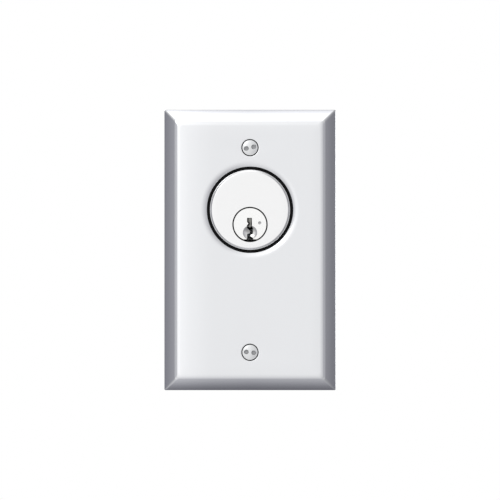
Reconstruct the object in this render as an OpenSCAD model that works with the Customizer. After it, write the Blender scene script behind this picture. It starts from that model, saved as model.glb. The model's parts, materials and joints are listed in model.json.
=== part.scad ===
// Flush wall-mounted key switch: a bevelled single-gang wall plate carries a mortise lock cylinder,
// whose cam works a roller-lever snap switch on a bracket behind the plate.
//
// Frame: millimetres. The origin is on the wall plane, midway between the two box screws.
// +X is to the right seen from the front, +Y goes back into the wall, +Z is up.
// Everything is drawn at rest: key way upright, switch released.

/* [Faceplate] */
// Width of the wall plate
plate_w = 69.85; // [68:0.05:80]
// Height of the wall plate
plate_h = 114.3; // [112:0.1:130]
// Distance from the wall to the plate's flat face
plate_depth = 6.35; // [6:0.05:7]
// Thickness of the plate's sheet
plate_sheet = 1.6; // [1.2:0.1:1.6]
// Width of the bevel, seen from the front
bevel_w = 5.2; // [4.5:0.1:6]
// Distance between the two box screws
box_screw_spacing = 83.34; // [83.34:0.01:83.34]
// Radius of the box screws' thread
box_screw_r = 1.75; // [1.75:0.01:1.75]

/* [Lock cylinder] */
// Height of the cylinder's axis above the plate's centre
cylinder_z = 16.4; // [16:0.1:18]
// Radius of the cylinder's head
head_r = 16.4; // [16.3:0.05:16.5]
// Radius of the cylinder's threaded barrel
barrel_r = 14.6; // [14.5:0.05:14.6]
// Distance from the cylinder's axis down to the plug's axis
plug_drop = 6; // [5.9:0.05:6.1]
// Radius of the turning plug
plug_r = 6.35; // [6.3:0.01:6.35]
// Lift that the key gives each pin, from the front pin to the back pin
key_lifts = [1.1, 2.2, 0.8, 1.8, 1.4]; // [0.6:0.1:2.2]

/* [Cam and switch] */
// Angle that the key turns through
key_turn = 90; // [90:1:90]
// Angle that the switch lever turns through
lever_turn = 12; // [11:0.1:12]
// Radius of the cam's round base
cam_base_r = 9; // [9:0.05:9]

/* [Hidden] */
$fn = 64;
PINS = 5;

// Colours
STAINLESS = [0.90, 0.90, 0.91];
SATIN_CHROME = [0.95, 0.95, 0.94];
ZINC = [0.72, 0.74, 0.76];
BRASS = [0.80, 0.66, 0.36];
NICKEL_SILVER = [0.74, 0.73, 0.69];
SPRING_STEEL = [0.55, 0.56, 0.58];
RUBBER = [0.05, 0.05, 0.06];
BLACK_CASE = [0.10, 0.10, 0.11];
GREY_COVER = [0.35, 0.36, 0.38];
FISH_PAPER = [0.45, 0.47, 0.50];
EARTH_GREEN = [0.10, 0.45, 0.20];
RED_PLUNGER = [0.65, 0.12, 0.10];

// Clearances
GAP = 0.05;
CUT = 1;
CONE_CUT = 0.002;

// Plate section: the lean of the bevel, and the two rounded corners of the section
rim_h = 1.0;
rim_round_r = 1.8;
fold_round_r = 3.2;
bevel_lean = atan2(bevel_w, plate_depth - rim_h);
face_y = -plate_depth;
plate_back_y = face_y + plate_sheet;

// Box screws
box_head_r = 3.1;
box_head_drop = 1.6;
box_head_rise = 0.6;
box_head_edge = 0.15;
box_head_dome = box_head_rise - box_head_edge;
box_sink_gap = 0.36;
box_sink_drop = 0.05;
box_hole_r = 2.05;
box_neck_r = 1.9;
box_neck_end = -4.2;
box_thread_end = 19;
box_tip_l = 0.7;
box_tip_r = 1.1;
spanner_hole_r = 0.85;
spanner_hole_x = 1.55;
spanner_hole_depth = 1.35;
box_screw_turns = [-13, 6];

// Bracket
bracket_sheet = 1.6;
web_y = -1.95;
web_back_y = web_y + bracket_sheet;
web_half_w = 24;
web_top_z = 36;
web_corner = 4;
web_overlap = 6;
leg_z = -27.6;
leg_x = [-20, 21];
wall_back_y = 22.9;
wall_y = wall_back_y - bracket_sheet;
wall_top_z = -4;
bend_r = 2.4;

// Studs that hold the bracket
stud_x = 19;
stud_dz = 14.6;
stud_r = 1.75;
stud_shoulder_r = 3;
stud_end_y = 4.2;
stud_hole_gap = 0.15;
washer_t = 0.5;
washer_r = 4;
washer_gap = 0.1;
nut_t = 2.3;
stud_nut_flats = 7.9;

// Cylinder
plug_z = cylinder_z - plug_drop;
head_face_y = -6.75;
head_chamfer = 0.8;
barrel_end_y = 26.65;
seal_y = -5.25;
seal_gap = 0.06;
plate_hole_r = head_r + 1.15;

// Edge of the lock's hole in the plate, rolled in by the press: two cones of [depth, extra radius]
hole_roll_wide = [0, 2.4];
hole_roll_mid = [0.12, 1.2];
hole_roll_deep = [0.6, -0.01];

// Lock
plug_bore_r = plug_r + GAP;
flange_r = plug_r + 0.35;
flange_bore_r = plug_r + 0.77;
flange_end_y = -3.55;

// The plug's face: a shallow dish that leads the key in, a flat across its foot, a drill mark
dish_r = 2.9;
dish_depth = 1;
dish_sphere_r = (pow(dish_r, 2) + pow(dish_depth, 2)) / (2 * dish_depth);
dish_z = plug_z - 3.3;
plug_flat_drop = 6.06;
plug_flat_half = 4;
plug_flat_depth = 2;
drill_mark = [3.95, 0.65];
drill_mark_r = 0.6;
drill_mark_depth = 0.3;
drill_mark_tip_r = 0.05;

// The two side grooves that take the bracket's tabs, and the ring washer and nut
tab_w = 2.8;
tab_groove_w = 3;
tab_depth = 1.2;
tab_groove_depth = 1.3;
tab_root = 0.6;
bracket_hole_gap = 0.2;
ring_washer_r = 17.2;
ring_washer_t = 0.6;
ring_nut_r = 17.4;
ring_nut_t = 3.15;
ring_notch_half = 1.5;
ring_notch_depth = 1.6;
ring_notch_r = 16.3;

// Pin stacks
pin_y0 = -0.15;
pin_pitch = 3.96;
pin_r = 1.46;
chamber_r = 1.5;
pin_tip_z = plug_z - 1.95;
pin_chamfer = 0.3;
pin_tip_h = 0.75;
pin_tip_r = 0.5;
driver_coil_r = 1.2;
driver_wire_r = 0.18;
driver_coils = 9;
shear_z = plug_z + 6.25;
driver_z = plug_z + 6.45;
driver_h = 4.5;
spring_top_z = 28.6;
cap_h = 1.5;

// Cam
cam_y = 26.75;
cam_t = 2.4;
cam_hub_r = 5.8;
cam_hub_end_y = 34;
retainer_r = 7.8;
retainer_t = 0.8;
cam_screw_x = 3.9;
cam_screw_r = 1.2;
cam_tap_r = 1.25;
cam_screw_start_y = 20;
cam_screw_gap = 0.2;
cam_head_r = 2;
cam_head_h = 1.4;
cam_socket_flats = 2;
cam_socket_h = 0.9;
stop_pin_r = 1.2;
stop_pin_dist = 11.6;
stop_pin_y = barrel_end_y - 2.5;
stop_lug_r = 13;
stop_lug_span = 20;
stop_angle = asin((stop_pin_r + 0.06) / stop_pin_dist);
roller_r = 2.4;
roller_gap = 0.1;
hook_angle = 45;
hook_gap = 0.15;

// Return spring
coil_wire_r = 0.45;
coil_end_r = 0.42;
coil_mean_r = 6.65;
coil_y = 29.4;
coil_turns = 5;
coil_pitch = 0.88;
coil_leg_y = coil_y + coil_wire_r + (coil_turns - 1) * coil_pitch;
coil_leg_z = -7.2;
post_r = 1.5;
post_x = -coil_mean_r - coil_wire_r - post_r - GAP;
post_z = -5.8;
post_end_y = 34.8;
post_tail_r = 0.99;

// Snap switch: a 27.8 x 15.9 x 10.3 mm body with 22.2 x 10.3 mm screw spacing
case_x = [-9, 18.8];
case_z = [-24.1, -8.2];
case_y = 23.3;
cover_y = 31.8;
cover_end_y = 33.6;
case_wall = 1.2;
case_floor = 1.3;
switch_mid_y = 28.5;
mount_a = [-6.2, -11.0];
mount_b = [16.0, -21.3];
mount_r = 1.6;
boss_r = 2.6;
plunger_x = 10.5;
plunger_r = 1.5;
plunger_top_z = -6.35;
plunger_tip_z = -14.7;
plunger_tip_r = 0.8;
plunger_dome_r = 2;
plunger_collar_r = 2.3;
plunger_collar_h = 1.9;
hinge = [16.5, -7.2];
hinge_ear_y = [24.6, 25.9];
hinge_ear_half = 1.6;
hinge_ear_rise = 1.3;
hinge_ear_root = 0.5;
hinge_pin_y = 24.7;
hinge_blind = 0.4;
lever_lean = 11.3;
lever_w = 4.8;
lever_t = 0.5;
lever_len = 19.4;
knuckle_r = 0.95;
knuckle_bore_r = 0.58;
hinge_pin_r = 0.5;
roller_at = [0, -1.1];
roller_w = 3.2;
roller_bore_r = 0.84;
roller_pin_r = 0.78;
ear_r = 1.8;
ear_t = 0.6;
blade_pivot = [12.2, -16.15];
blade_t = 0.3;
blade_end_x = -3.4;
blade_tail = 1;
blade_knuckle_r = 0.3;
contact_x = -2.2;
contact_r = 1.2;
contact_h = 0.4;
open_button_z = -17.92;
closed_x = -7;
closed_arm_z = -15.1;
closed_button_z = -15.55;
button_h = 0.5;
tab_t = 0.8;
tab_wide = 4.75;
tab_slot_half = 2.5;
tab_end_z = -32.1;
tab_hole_r = 0.7;
tab_hole_up = 2.6;
screw_shank_r = 1.45;
switch_nut_flats = 5.5;
screw_tail = 2.5;
screw_head_r = 2.75;
screw_head_top_r = 2.25;
screw_head_h = 1.8;
screw_cross_l = 3.2;
screw_cross_w = 0.6;
screw_cross_depth = 1;
insulator_x = [-10.5, 20.3];
insulator_z = [-25.8, -7.7];

// Earthing screw
ground_at = [-15.2, -18];
ground_shank_r = 1.95;
ground_flange_r = 4.1;
ground_flange_t = 0.8;
ground_head_h = 2.2;
ground_flats = 7;
ground_slot_w = 0.9;

// ---- General shapes ----

// A rod along Y between two depths, at a place [x, z]
module rod(at, y0, y1, r, r_end = 0) {
    translate([at[0], y0, at[1]])
        rotate([-90, 0, 0])
            cylinder(h = y1 - y0, r1 = r, r2 = r_end > 0 ? r_end : r);
}

// A hexagon along Y, across-flats size given
module hex_rod(at, y0, y1, flats) {
    translate([at[0], y0, at[1]])
        rotate([-90, 0, 0])
            cylinder(h = y1 - y0, r = flats / sqrt(3), $fn = 6);
}

// A tube along Y
module tube(at, y0, y1, r_out, r_in) {
    difference() {
        rod(at, y0, y1, r_out);
        rod(at, y0 - CUT, y1 + CUT, r_in);
    }
}

// A flat shape drawn in X and Z, as thick as the gap between two depths
module slab(y0, y1) {
    translate([0, y1, 0])
        rotate([90, 0, 0])
            linear_extrude(height = y1 - y0)
                children();
}

// A box between two corners
module block(low, high) {
    translate(low)
        cube(high - low);
}

// Points along an arc
function arc(centre, r, a0, a1, steps) =
    [for (i = [0:steps]) let (a = a0 + (a1 - a0) * i / steps) centre + r * [cos(a), sin(a)]];

// A coil spring as stacked rings on a thin web, so that it is one closed solid. It stands on z = 0.
module coil(mean_r, wire_r, height, rings) {
    pitch = (height - 2 * wire_r) / (rings - 1);
    web = wire_r * 0.4;
    rotate_extrude() {
        union() {
            translate([mean_r - web / 2, wire_r])
                square([web, height - 2 * wire_r]);
            for (i = [0:rings - 1])
                translate([mean_r, wire_r + i * pitch])
                    circle(r = wire_r, $fn = 24);
        }
    }
}

// ---- Wall plate and its fasteners ----

// Half of the plate's section: the rounded rim corner, then the rounded fold, set in by a thickness
function half_section(half, inset) =
    let (
        rim = [half - rim_round_r, -rim_h + rim_round_r * tan(bevel_lean / 2)],
        fold = [half - bevel_w - fold_round_r * tan((90 - bevel_lean) / 2), face_y + fold_round_r]
    )
    concat(
        arc(rim, rim_round_r - inset, 0, -bevel_lean, 6),
        arc(fold, fold_round_r - inset, -bevel_lean, -90, 6)
    );

// The whole section from the wall plane forwards, for a plate of this width
function plate_section(width, inset, rim_y) =
    let (half = half_section(width / 2, inset))
    concat(
        [[width / 2 - inset, rim_y]],
        half,
        [for (i = [len(half) - 1:-1:0]) [-half[i][0], half[i][1]]],
        [[-(width / 2 - inset), rim_y]]
    );

// A pyramid-like tray with mitred corners, where the two sections cross
module tray(inset, rim_y) {
    intersection() {
        translate([0, 0, -plate_h])
            linear_extrude(height = 2 * plate_h)
                polygon(plate_section(plate_w, inset, rim_y));
        translate([-plate_w, 0, 0])
            rotate([90, 0, 90])
                linear_extrude(height = 2 * plate_w)
                    polygon([for (p = plate_section(plate_h, inset, rim_y)) [p[1], p[0]]]);
    }
}

// The two places of the box screws
module at_box_screws() {
    for (side = [1, -1])
        translate([0, 0, side * box_screw_spacing / 2])
            rotate([0, side > 0 ? box_screw_turns[0] : box_screw_turns[1], 0])
                children();
}

module faceplate() {
    color(STAINLESS)
    difference() {
        tray(0, 0);
        tray(plate_sheet, CUT);
        rod([0, cylinder_z], face_y - CUT, CUT, plate_hole_r);
        for (cone = [[hole_roll_wide, hole_roll_mid], [hole_roll_mid, hole_roll_deep]])
            rod(
                [0, cylinder_z], face_y + cone[0][0] - CONE_CUT, face_y + cone[1][0],
                plate_hole_r + cone[0][1], plate_hole_r + cone[1][1]
            );
        at_box_screws() {
            rod([0, 0], face_y - CUT, CUT, box_hole_r);
            rod(
                [0, 0], face_y - box_sink_drop, plate_back_y - box_sink_drop,
                box_head_r + box_sink_gap, box_hole_r - 0.001
            );
        }
    }
}

// An oval countersunk head with two spanner holes, a tapered neck and a threaded shank
module box_screw() {
    dome_r = (pow(box_head_r, 2) + pow(box_head_dome, 2)) / (2 * box_head_dome);
    top_y = face_y - box_head_rise;
    difference() {
        union() {
            intersection() {
                union() {
                    rod([0, 0], face_y, face_y + box_head_drop, box_head_r, box_neck_r);
                    rod([0, 0], top_y - CUT, face_y, box_head_r);
                }
                translate([0, top_y + dome_r, 0])
                    sphere(r = dome_r);
            }
            rod([0, 0], face_y + box_head_drop, box_neck_end, box_neck_r, box_screw_r);
            rod([0, 0], box_neck_end, box_thread_end, box_screw_r);
            rod([0, 0], box_thread_end, box_thread_end + box_tip_l, box_screw_r, box_tip_r);
        }
        for (side = [-1, 1])
            rod([side * spanner_hole_x, 0], top_y - CUT, top_y + spanner_hole_depth, spanner_hole_r);
    }
}

module faceplate_screws() {
    color(STAINLESS)
        at_box_screws()
            box_screw();
}

module at_studs() {
    for (sx = [-1, 1], sz = [-1, 1])
        translate([sx * stud_x, 0, cylinder_z + sz * stud_dz])
            children();
}

module weld_studs() {
    color(ZINC)
        at_studs() {
            rod([0, 0], plate_back_y, web_y, stud_shoulder_r);
            rod([0, 0], web_y, stud_end_y, stud_r);
        }
}

module stud_washers() {
    color(ZINC)
        at_studs()
            tube([0, 0], web_back_y, web_back_y + washer_t, washer_r, stud_r + washer_gap);
}

module stud_nuts() {
    nut_y = web_back_y + washer_t;
    color(ZINC)
        at_studs()
            difference() {
                hex_rod([0, 0], nut_y, nut_y + nut_t, stud_nut_flats);
                rod([0, 0], nut_y - CUT, nut_y + nut_t + CUT, stud_r);
            }
}

// ---- Bracket ----

// The bracket's bent leg, drawn in Y and Z: down the web, along the floor, up the rear wall
function leg_outline() =
    let (
        front = [web_y + bend_r, leg_z + bend_r],
        back = [wall_back_y - bend_r, leg_z + bend_r],
        inner_r = bend_r - bracket_sheet,
        stub_z = leg_z + web_overlap
    )
    concat(
        [[web_y, stub_z]],
        arc(front, bend_r, 180, 270, 6),
        arc(back, bend_r, 270, 360, 6),
        [[wall_back_y, wall_top_z], [wall_y, wall_top_z]],
        arc(back, inner_r, 360, 270, 4),
        arc(front, inner_r, 270, 180, 4),
        [[web_back_y, stub_z]]
    );

module mounting_bracket() {
    cylinder_at = [0, cylinder_z];
    hole_r = barrel_r + bracket_hole_gap;
    color(ZINC)
    difference() {
        union() {
            difference() {
                block([-web_half_w, web_y, leg_z + bend_r + 1], [web_half_w, web_back_y, web_top_z]);
                rod(cylinder_at, web_y - CUT, web_back_y + CUT, hole_r);
            }
            for (side = [-1, 1])
                translate([side * (hole_r - tab_depth / 2), 0, cylinder_z])
                    block(
                        [-tab_depth / 2 - (side > 0 ? 0 : tab_root), web_y, -tab_w / 2],
                        [tab_depth / 2 + (side > 0 ? tab_root : 0), web_back_y, tab_w / 2]
                    );
            translate([leg_x[0], 0, 0])
                rotate([90, 0, 90])
                    linear_extrude(height = leg_x[1] - leg_x[0])
                        polygon(leg_outline());
        }
        at_studs()
            rod([0, 0], web_y - CUT, web_back_y + CUT, stud_r + stud_hole_gap);
        for (at = [mount_a, mount_b])
            rod(at, wall_y - CUT, wall_back_y + CUT, mount_r);
        rod(ground_at, wall_y - CUT, wall_back_y + CUT, ground_shank_r + GAP);
        rod([post_x, post_z], wall_y - CUT, wall_back_y + CUT, post_tail_r + 0.01);
        for (sx = [-1, 1])
            translate([sx * web_half_w, 0, web_top_z])
                rotate([0, 45, 0])
                    cube([web_corner, 2 * web_corner, web_corner], center = true);
    }
}

// ---- Lock cylinder ----

module cylinder_seal() {
    color(RUBBER)
        tube([0, cylinder_z], seal_y, web_y, plate_hole_r - seal_gap, head_r + seal_gap);
}

module cylinder_shell() {
    axis = [0, cylinder_z];
    bore = [0, plug_z];
    color(SATIN_CHROME)
    difference() {
        union() {
            rod(axis, head_face_y, head_face_y + head_chamfer, head_r - head_chamfer, head_r);
            rod(axis, head_face_y + head_chamfer, web_y, head_r);
            rod(axis, web_y, barrel_end_y, barrel_r);
        }
        rod(bore, head_face_y - CUT, barrel_end_y + CUT, plug_bore_r);
        rod(bore, head_face_y - CUT, flange_end_y + GAP, flange_bore_r);
        for (i = [0:PINS - 1])
            translate([0, pin_y0 + i * pin_pitch, plug_z])
                cylinder(h = 40, r = chamber_r);
        for (side = [-1, 1])
            translate([side * (barrel_r + CUT - tab_groove_depth / 2), 0, cylinder_z])
                block(
                    [-tab_groove_depth / 2 - CUT, web_y + 0.01, -tab_groove_w / 2],
                    [tab_groove_depth / 2 + CUT, barrel_end_y + CUT, tab_groove_w / 2]
                );
        rod([0, plug_z + stop_pin_dist], stop_pin_y, barrel_end_y + CUT, stop_pin_r);
    }
}

module ring_washer() {
    color(ZINC)
        tube(
            [0, cylinder_z], web_back_y, web_back_y + ring_washer_t,
            ring_washer_r, barrel_r + washer_gap
        );
}

module ring_nut() {
    y0 = web_back_y + ring_washer_t;
    y1 = y0 + ring_nut_t;
    color(BRASS)
    difference() {
        tube([0, cylinder_z], y0, y1, ring_nut_r, barrel_r + GAP);
        for (a = [0:60:300])
            translate([0, 0, cylinder_z])
                rotate([0, a, 0])
                    block(
                        [-ring_notch_half, y1 - ring_notch_depth, ring_notch_r],
                        [ring_notch_half, y1 + CUT, ring_nut_r + CUT]
                    );
    }
}

// The key way, drawn in X and Z from the plug's axis, with its wards
function keyway_outline() = [
    [-1.2, 2.7], [-1.2, 0.9], [-0.75, 0.6], [-0.75, 0.1], [-1.25, -0.2], [-1.25, -1.4],
    [-0.4, -2.25], [-0.05, -2.6], [-0.05, -3.5], [-1.2, -3.9], [-1.2, -5.6], [-1.4, -5.9],
    [-1.4, -7.5], [1.4, -7.5], [1.4, -5.9], [1.2, -5.5], [0.7, -5.1], [0.05, -4.8],
    [0.1, -4.3], [1.2, -3.9], [1.2, -2.65], [1.1, -2.25], [1.25, -1.8], [1.25, -1.4],
    [0.8, -1.0], [0.8, 2.7]
];

module cylinder_plug() {
    axis = [0, plug_z];
    color(SATIN_CHROME)
    difference() {
        union() {
            rod(axis, head_face_y, flange_end_y, flange_r);
            rod(axis, flange_end_y, barrel_end_y, plug_r);
        }
        translate([0, 0, plug_z])
            slab(head_face_y - CUT, barrel_end_y + CUT)
                polygon(keyway_outline());
        translate([0, head_face_y - dish_sphere_r + dish_depth, dish_z])
            sphere(r = dish_sphere_r);
        translate([-plug_flat_half, head_face_y - CUT, plug_z - plug_r - CUT])
            cube([2 * plug_flat_half, plug_flat_depth + CUT, plug_r + CUT - plug_flat_drop]);
        rod(
            [drill_mark[0], plug_z + drill_mark[1]],
            head_face_y - CONE_CUT, head_face_y + drill_mark_depth, drill_mark_r, drill_mark_tip_r
        );
        for (i = [0:PINS - 1])
            translate([0, pin_y0 + i * pin_pitch, pin_tip_z]) {
                translate([0, 0, pin_tip_h])
                    cylinder(h = 20, r = chamber_r);
                cylinder(h = pin_tip_h + 0.001, r1 = pin_tip_r + GAP, r2 = chamber_r);
            }
        for (side = [-1, 1])
            rod([side * cam_screw_x, plug_z], cam_screw_start_y, barrel_end_y + CUT, cam_tap_r);
    }
}

module key_pin(i) {
    height = shear_z - key_lifts[i - 1] - pin_tip_z;
    color(NICKEL_SILVER)
    translate([0, pin_y0 + (i - 1) * pin_pitch, pin_tip_z]) {
        translate([0, 0, GAP])
            cylinder(h = pin_tip_h - GAP, r1 = pin_tip_r, r2 = pin_r);
        translate([0, 0, pin_tip_h])
            cylinder(h = height - pin_tip_h - pin_chamfer, r = pin_r);
        translate([0, 0, height - pin_chamfer])
            cylinder(h = pin_chamfer, r1 = pin_r, r2 = pin_r - pin_chamfer);
    }
}

module driver_pin(i) {
    color(NICKEL_SILVER)
    translate([0, pin_y0 + (i - 1) * pin_pitch, driver_z]) {
        cylinder(h = pin_chamfer, r1 = pin_r - pin_chamfer, r2 = pin_r);
        translate([0, 0, pin_chamfer])
            cylinder(h = driver_h - 2 * pin_chamfer, r = pin_r);
        translate([0, 0, driver_h - pin_chamfer])
            cylinder(h = pin_chamfer, r1 = pin_r, r2 = pin_r - pin_chamfer);
    }
}

module driver_spring(i) {
    bottom_z = driver_z + driver_h;
    color(SPRING_STEEL)
        translate([0, pin_y0 + (i - 1) * pin_pitch, bottom_z])
            coil(driver_coil_r, driver_wire_r, spring_top_z - bottom_z, driver_coils);
}

module chamber_cap(i) {
    color(BRASS)
        translate([0, pin_y0 + (i - 1) * pin_pitch, spring_top_z])
            cylinder(h = cap_h, r = chamber_r - 0.01);
}

// ---- Cam, return spring and stop ----

// Turn a point [x, z] about +Y by the right-hand rule
function turned(p, a) = [p[0] * cos(a) + p[1] * sin(a), -p[0] * sin(a) + p[1] * cos(a)];

// The roller's centre when the key has turned by an angle
function roller_place(key) = hinge + turned(roller_at - hinge, -lever_turn * key / key_turn);

// The same place as the cam sees it, from the plug's axis
function pitch_point(key) = turned(roller_place(key) - [0, plug_z], -key);

// The cam's edge there: the pitch point moved in by the roller's radius, square to the pitch curve
function cam_edge(key) =
    let (
        along = pitch_point(key + 0.5) - pitch_point(key - 0.5),
        inward = [-along[1], along[0]] / norm(along)
    )
    pitch_point(key) + inward * (roller_r + roller_gap);

// A point at a radius and an angle, counted from straight down towards +X
function polar(r, a) = [r * sin(a), -r * cos(a)];

lobe_r = norm(cam_edge(key_turn));
drop_start = key_turn + 14;
drop_end = drop_start + 26;
lug_a_end = 180 - stop_angle;
lug_b_start = 270 + stop_angle;

function cam_outline() = concat(
    [for (a = [0:3:key_turn]) cam_edge(a)],
    [for (a = [key_turn + 6:4:drop_start]) polar(lobe_r, a)],
    [for (a = [drop_end:4:lug_a_end - stop_lug_span]) polar(cam_base_r, a)],
    [polar(cam_base_r, lug_a_end - stop_lug_span)],
    [for (t = [0:4]) polar(stop_lug_r, lug_a_end - stop_lug_span + t * stop_lug_span / 4)],
    [for (a = [lug_a_end:4:lug_b_start]) polar(cam_base_r, a)],
    [polar(cam_base_r, lug_b_start)],
    [for (t = [0:4]) polar(stop_lug_r, lug_b_start + t * stop_lug_span / 4)],
    [for (a = [lug_b_start + stop_lug_span:4:357]) polar(cam_base_r, a)]
);

module cam() {
    hook = [coil_mean_r * sin(hook_angle), plug_z + coil_mean_r * cos(hook_angle)];
    color(ZINC)
    difference() {
        union() {
            translate([0, 0, plug_z])
                slab(cam_y, cam_y + cam_t)
                    polygon(cam_outline());
            rod([0, plug_z], cam_y + cam_t, cam_hub_end_y, cam_hub_r);
        }
        for (side = [-1, 1])
            rod(
                [side * cam_screw_x, plug_z], cam_y - CUT, cam_hub_end_y + CUT,
                cam_screw_r + cam_screw_gap
            );
        rod(hook, cam_y - CUT, cam_y + cam_t + CUT, coil_wire_r + hook_gap);
    }
}

module cam_screws() {
    head_y = cam_hub_end_y + retainer_t;
    color(ZINC)
    for (side = [-1, 1])
        difference() {
            union() {
                rod([side * cam_screw_x, plug_z], cam_screw_start_y + 0.5, head_y, cam_screw_r);
                rod([side * cam_screw_x, plug_z], head_y, head_y + cam_head_h, cam_head_r);
            }
            hex_rod(
                [side * cam_screw_x, plug_z],
                head_y + cam_head_h - cam_socket_h, head_y + cam_head_h + CUT, cam_socket_flats
            );
        }
}

module spring_retainer() {
    color(ZINC)
    difference() {
        rod([0, plug_z], cam_hub_end_y, cam_hub_end_y + retainer_t, retainer_r);
        for (side = [-1, 1])
            rod(
                [side * cam_screw_x, plug_z],
                cam_hub_end_y - CUT, cam_hub_end_y + retainer_t + CUT, cam_screw_r + washer_gap
            );
    }
}

module stop_pin() {
    color(SPRING_STEEL)
        rod([0, plug_z + stop_pin_dist], stop_pin_y, cam_y + cam_t, stop_pin_r - 0.005);
}

module return_spring() {
    hook = [coil_mean_r * sin(hook_angle), plug_z + coil_mean_r * cos(hook_angle)];
    coil_l = 2 * coil_wire_r + (coil_turns - 1) * coil_pitch;
    color(SPRING_STEEL)
    union() {
        translate([0, coil_y, plug_z])
            rotate([-90, 0, 0])
                coil(coil_mean_r, coil_wire_r, coil_l, coil_turns);
        rod(hook, cam_y + 0.5, coil_y + coil_wire_r, coil_end_r);
        translate([-coil_mean_r, coil_leg_y, coil_leg_z])
            cylinder(h = plug_z - coil_leg_z, r = coil_end_r);
    }
}

module spring_post() {
    at = [post_x, post_z];
    color(ZINC) {
        rod(at, wall_y, wall_back_y, post_tail_r);
        rod(at, wall_back_y, post_end_y, post_r);
    }
}

// ---- Snap switch ----

module switch_holes(y0, y1) {
    for (at = [mount_a, mount_b])
        rod(at, y0 - CUT, y1 + CUT, mount_r);
}

// An ear that carries the lever's hinge pin
module hinge_ear(y0, y1) {
    block(
        [hinge[0] - hinge_ear_half, y0, case_z[1] - hinge_ear_root],
        [hinge[0] + hinge_ear_half, y1, hinge[1] + hinge_ear_rise]
    );
}

module switch_case() {
    color(BLACK_CASE)
    difference() {
        union() {
            difference() {
                block([case_x[0], case_y, case_z[0]], [case_x[1], cover_y, case_z[1]]);
                block(
                    [case_x[0] + case_wall, case_y + case_floor, case_z[0] + case_wall],
                    [case_x[1] - case_wall, cover_y + CUT, case_z[1] - case_wall]
                );
            }
            for (at = [mount_a, mount_b])
                rod(at, case_y + case_floor / 2, cover_y, boss_r);
            hinge_ear(hinge_ear_y[0], hinge_ear_y[1]);
        }
        switch_holes(case_y, cover_y);
        rod(hinge, hinge_ear_y[0] - CUT, hinge_ear_y[1] + CUT, hinge_pin_r + 0.01);
        translate([plunger_x, switch_mid_y, case_z[1] - case_wall - CUT])
            cylinder(h = 2 * CUT + case_wall, r = plunger_r + 0.06);
        for (x = [blade_pivot[0], contact_x, closed_x])
            block(
                [x - tab_t / 2 - GAP, switch_mid_y - tab_slot_half, case_z[0] - CUT],
                [x + tab_t / 2 + GAP, switch_mid_y + tab_slot_half, case_z[0] + case_wall + CUT]
            );
    }
}

module switch_cover() {
    color(GREY_COVER)
    difference() {
        union() {
            block([case_x[0], cover_y, case_z[0]], [case_x[1], cover_end_y, case_z[1]]);
            hinge_ear(cover_y, cover_end_y);
        }
        switch_holes(cover_y, cover_end_y);
        rod(hinge, cover_y - CUT, cover_end_y - hinge_blind, hinge_pin_r + 0.01);
    }
}

module insulator_sheet() {
    color(FISH_PAPER)
    difference() {
        block(
            [insulator_x[0], wall_back_y, insulator_z[0]],
            [insulator_x[1], case_y, insulator_z[1]]
        );
        switch_holes(wall_back_y, case_y);
    }
}

module switch_screws() {
    color(ZINC)
    for (at = [mount_a, mount_b])
        difference() {
            union() {
                rod(at, wall_y - screw_tail, cover_end_y, screw_shank_r);
                rod(at, cover_end_y, cover_end_y + screw_head_h, screw_head_r, screw_head_top_r);
            }
            for (a = [0, 90])
                translate([at[0], cover_end_y + screw_head_h, at[1]])
                    rotate([0, a, 0])
                        cube([screw_cross_l, 2 * screw_cross_depth, screw_cross_w], center = true);
        }
}

module switch_nuts() {
    color(ZINC)
    for (at = [mount_a, mount_b])
        difference() {
            hex_rod(at, wall_y - nut_t, wall_y, switch_nut_flats);
            rod(at, wall_y - nut_t - CUT, wall_y + CUT, screw_shank_r + 0.01);
        }
}

module switch_plunger() {
    collar_z = case_z[1] - case_wall - 0.1;
    collar_foot_z = collar_z - plunger_collar_h;
    dome_z = plunger_top_z - plunger_dome_r;
    color(RED_PLUNGER)
    translate([plunger_x, switch_mid_y, 0])
    union() {
        rotate_extrude()
            polygon([
                [0, plunger_tip_z], [plunger_tip_r, plunger_tip_z], [plunger_r, plunger_tip_z + 1.2],
                [plunger_r, collar_foot_z], [plunger_collar_r, collar_foot_z], [plunger_collar_r, collar_z],
                [plunger_r, collar_z], [plunger_r, dome_z + 1], [0, dome_z + 1]
            ]);
        intersection() {
            translate([0, 0, dome_z + 1])
                cylinder(h = plunger_dome_r, r = plunger_r);
            translate([0, 0, dome_z])
                sphere(r = plunger_dome_r);
        }
    }
}

module contact_blade() {
    half_w = roller_w / 2;
    color(BRASS)
    union() {
        block(
            [blade_end_x, switch_mid_y - half_w, blade_pivot[1] - blade_t / 2],
            [blade_pivot[0] + blade_tail, switch_mid_y + half_w, blade_pivot[1] + blade_t / 2]
        );
        rod(blade_pivot, switch_mid_y - half_w, switch_mid_y + half_w, blade_knuckle_r);
        translate([contact_x, switch_mid_y, blade_pivot[1] - blade_t / 2 - contact_h])
            cylinder(h = 2 * contact_h + blade_t, r = contact_r);
    }
}

// A flat tab that comes out of the case, with its riser to an inner height
module terminal_tab(x, top_z) {
    half_w = tab_wide / 2;
    difference() {
        block(
            [x - tab_t / 2, switch_mid_y - half_w, tab_end_z],
            [x + tab_t / 2, switch_mid_y + half_w, top_z]
        );
        translate([x - CUT, switch_mid_y, tab_end_z + tab_hole_up])
            rotate([0, 90, 0])
                cylinder(h = 2 * CUT, r = tab_hole_r);
    }
}

module common_terminal() {
    color(BRASS)
        terminal_tab(blade_pivot[0], blade_pivot[1] - blade_knuckle_r - GAP);
}

module normally_open_terminal() {
    foot_z = open_button_z - button_h;
    color(BRASS)
    union() {
        terminal_tab(contact_x, foot_z + 0.1);
        translate([contact_x, switch_mid_y, foot_z])
            cylinder(h = button_h, r = contact_r);
    }
}

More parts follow.
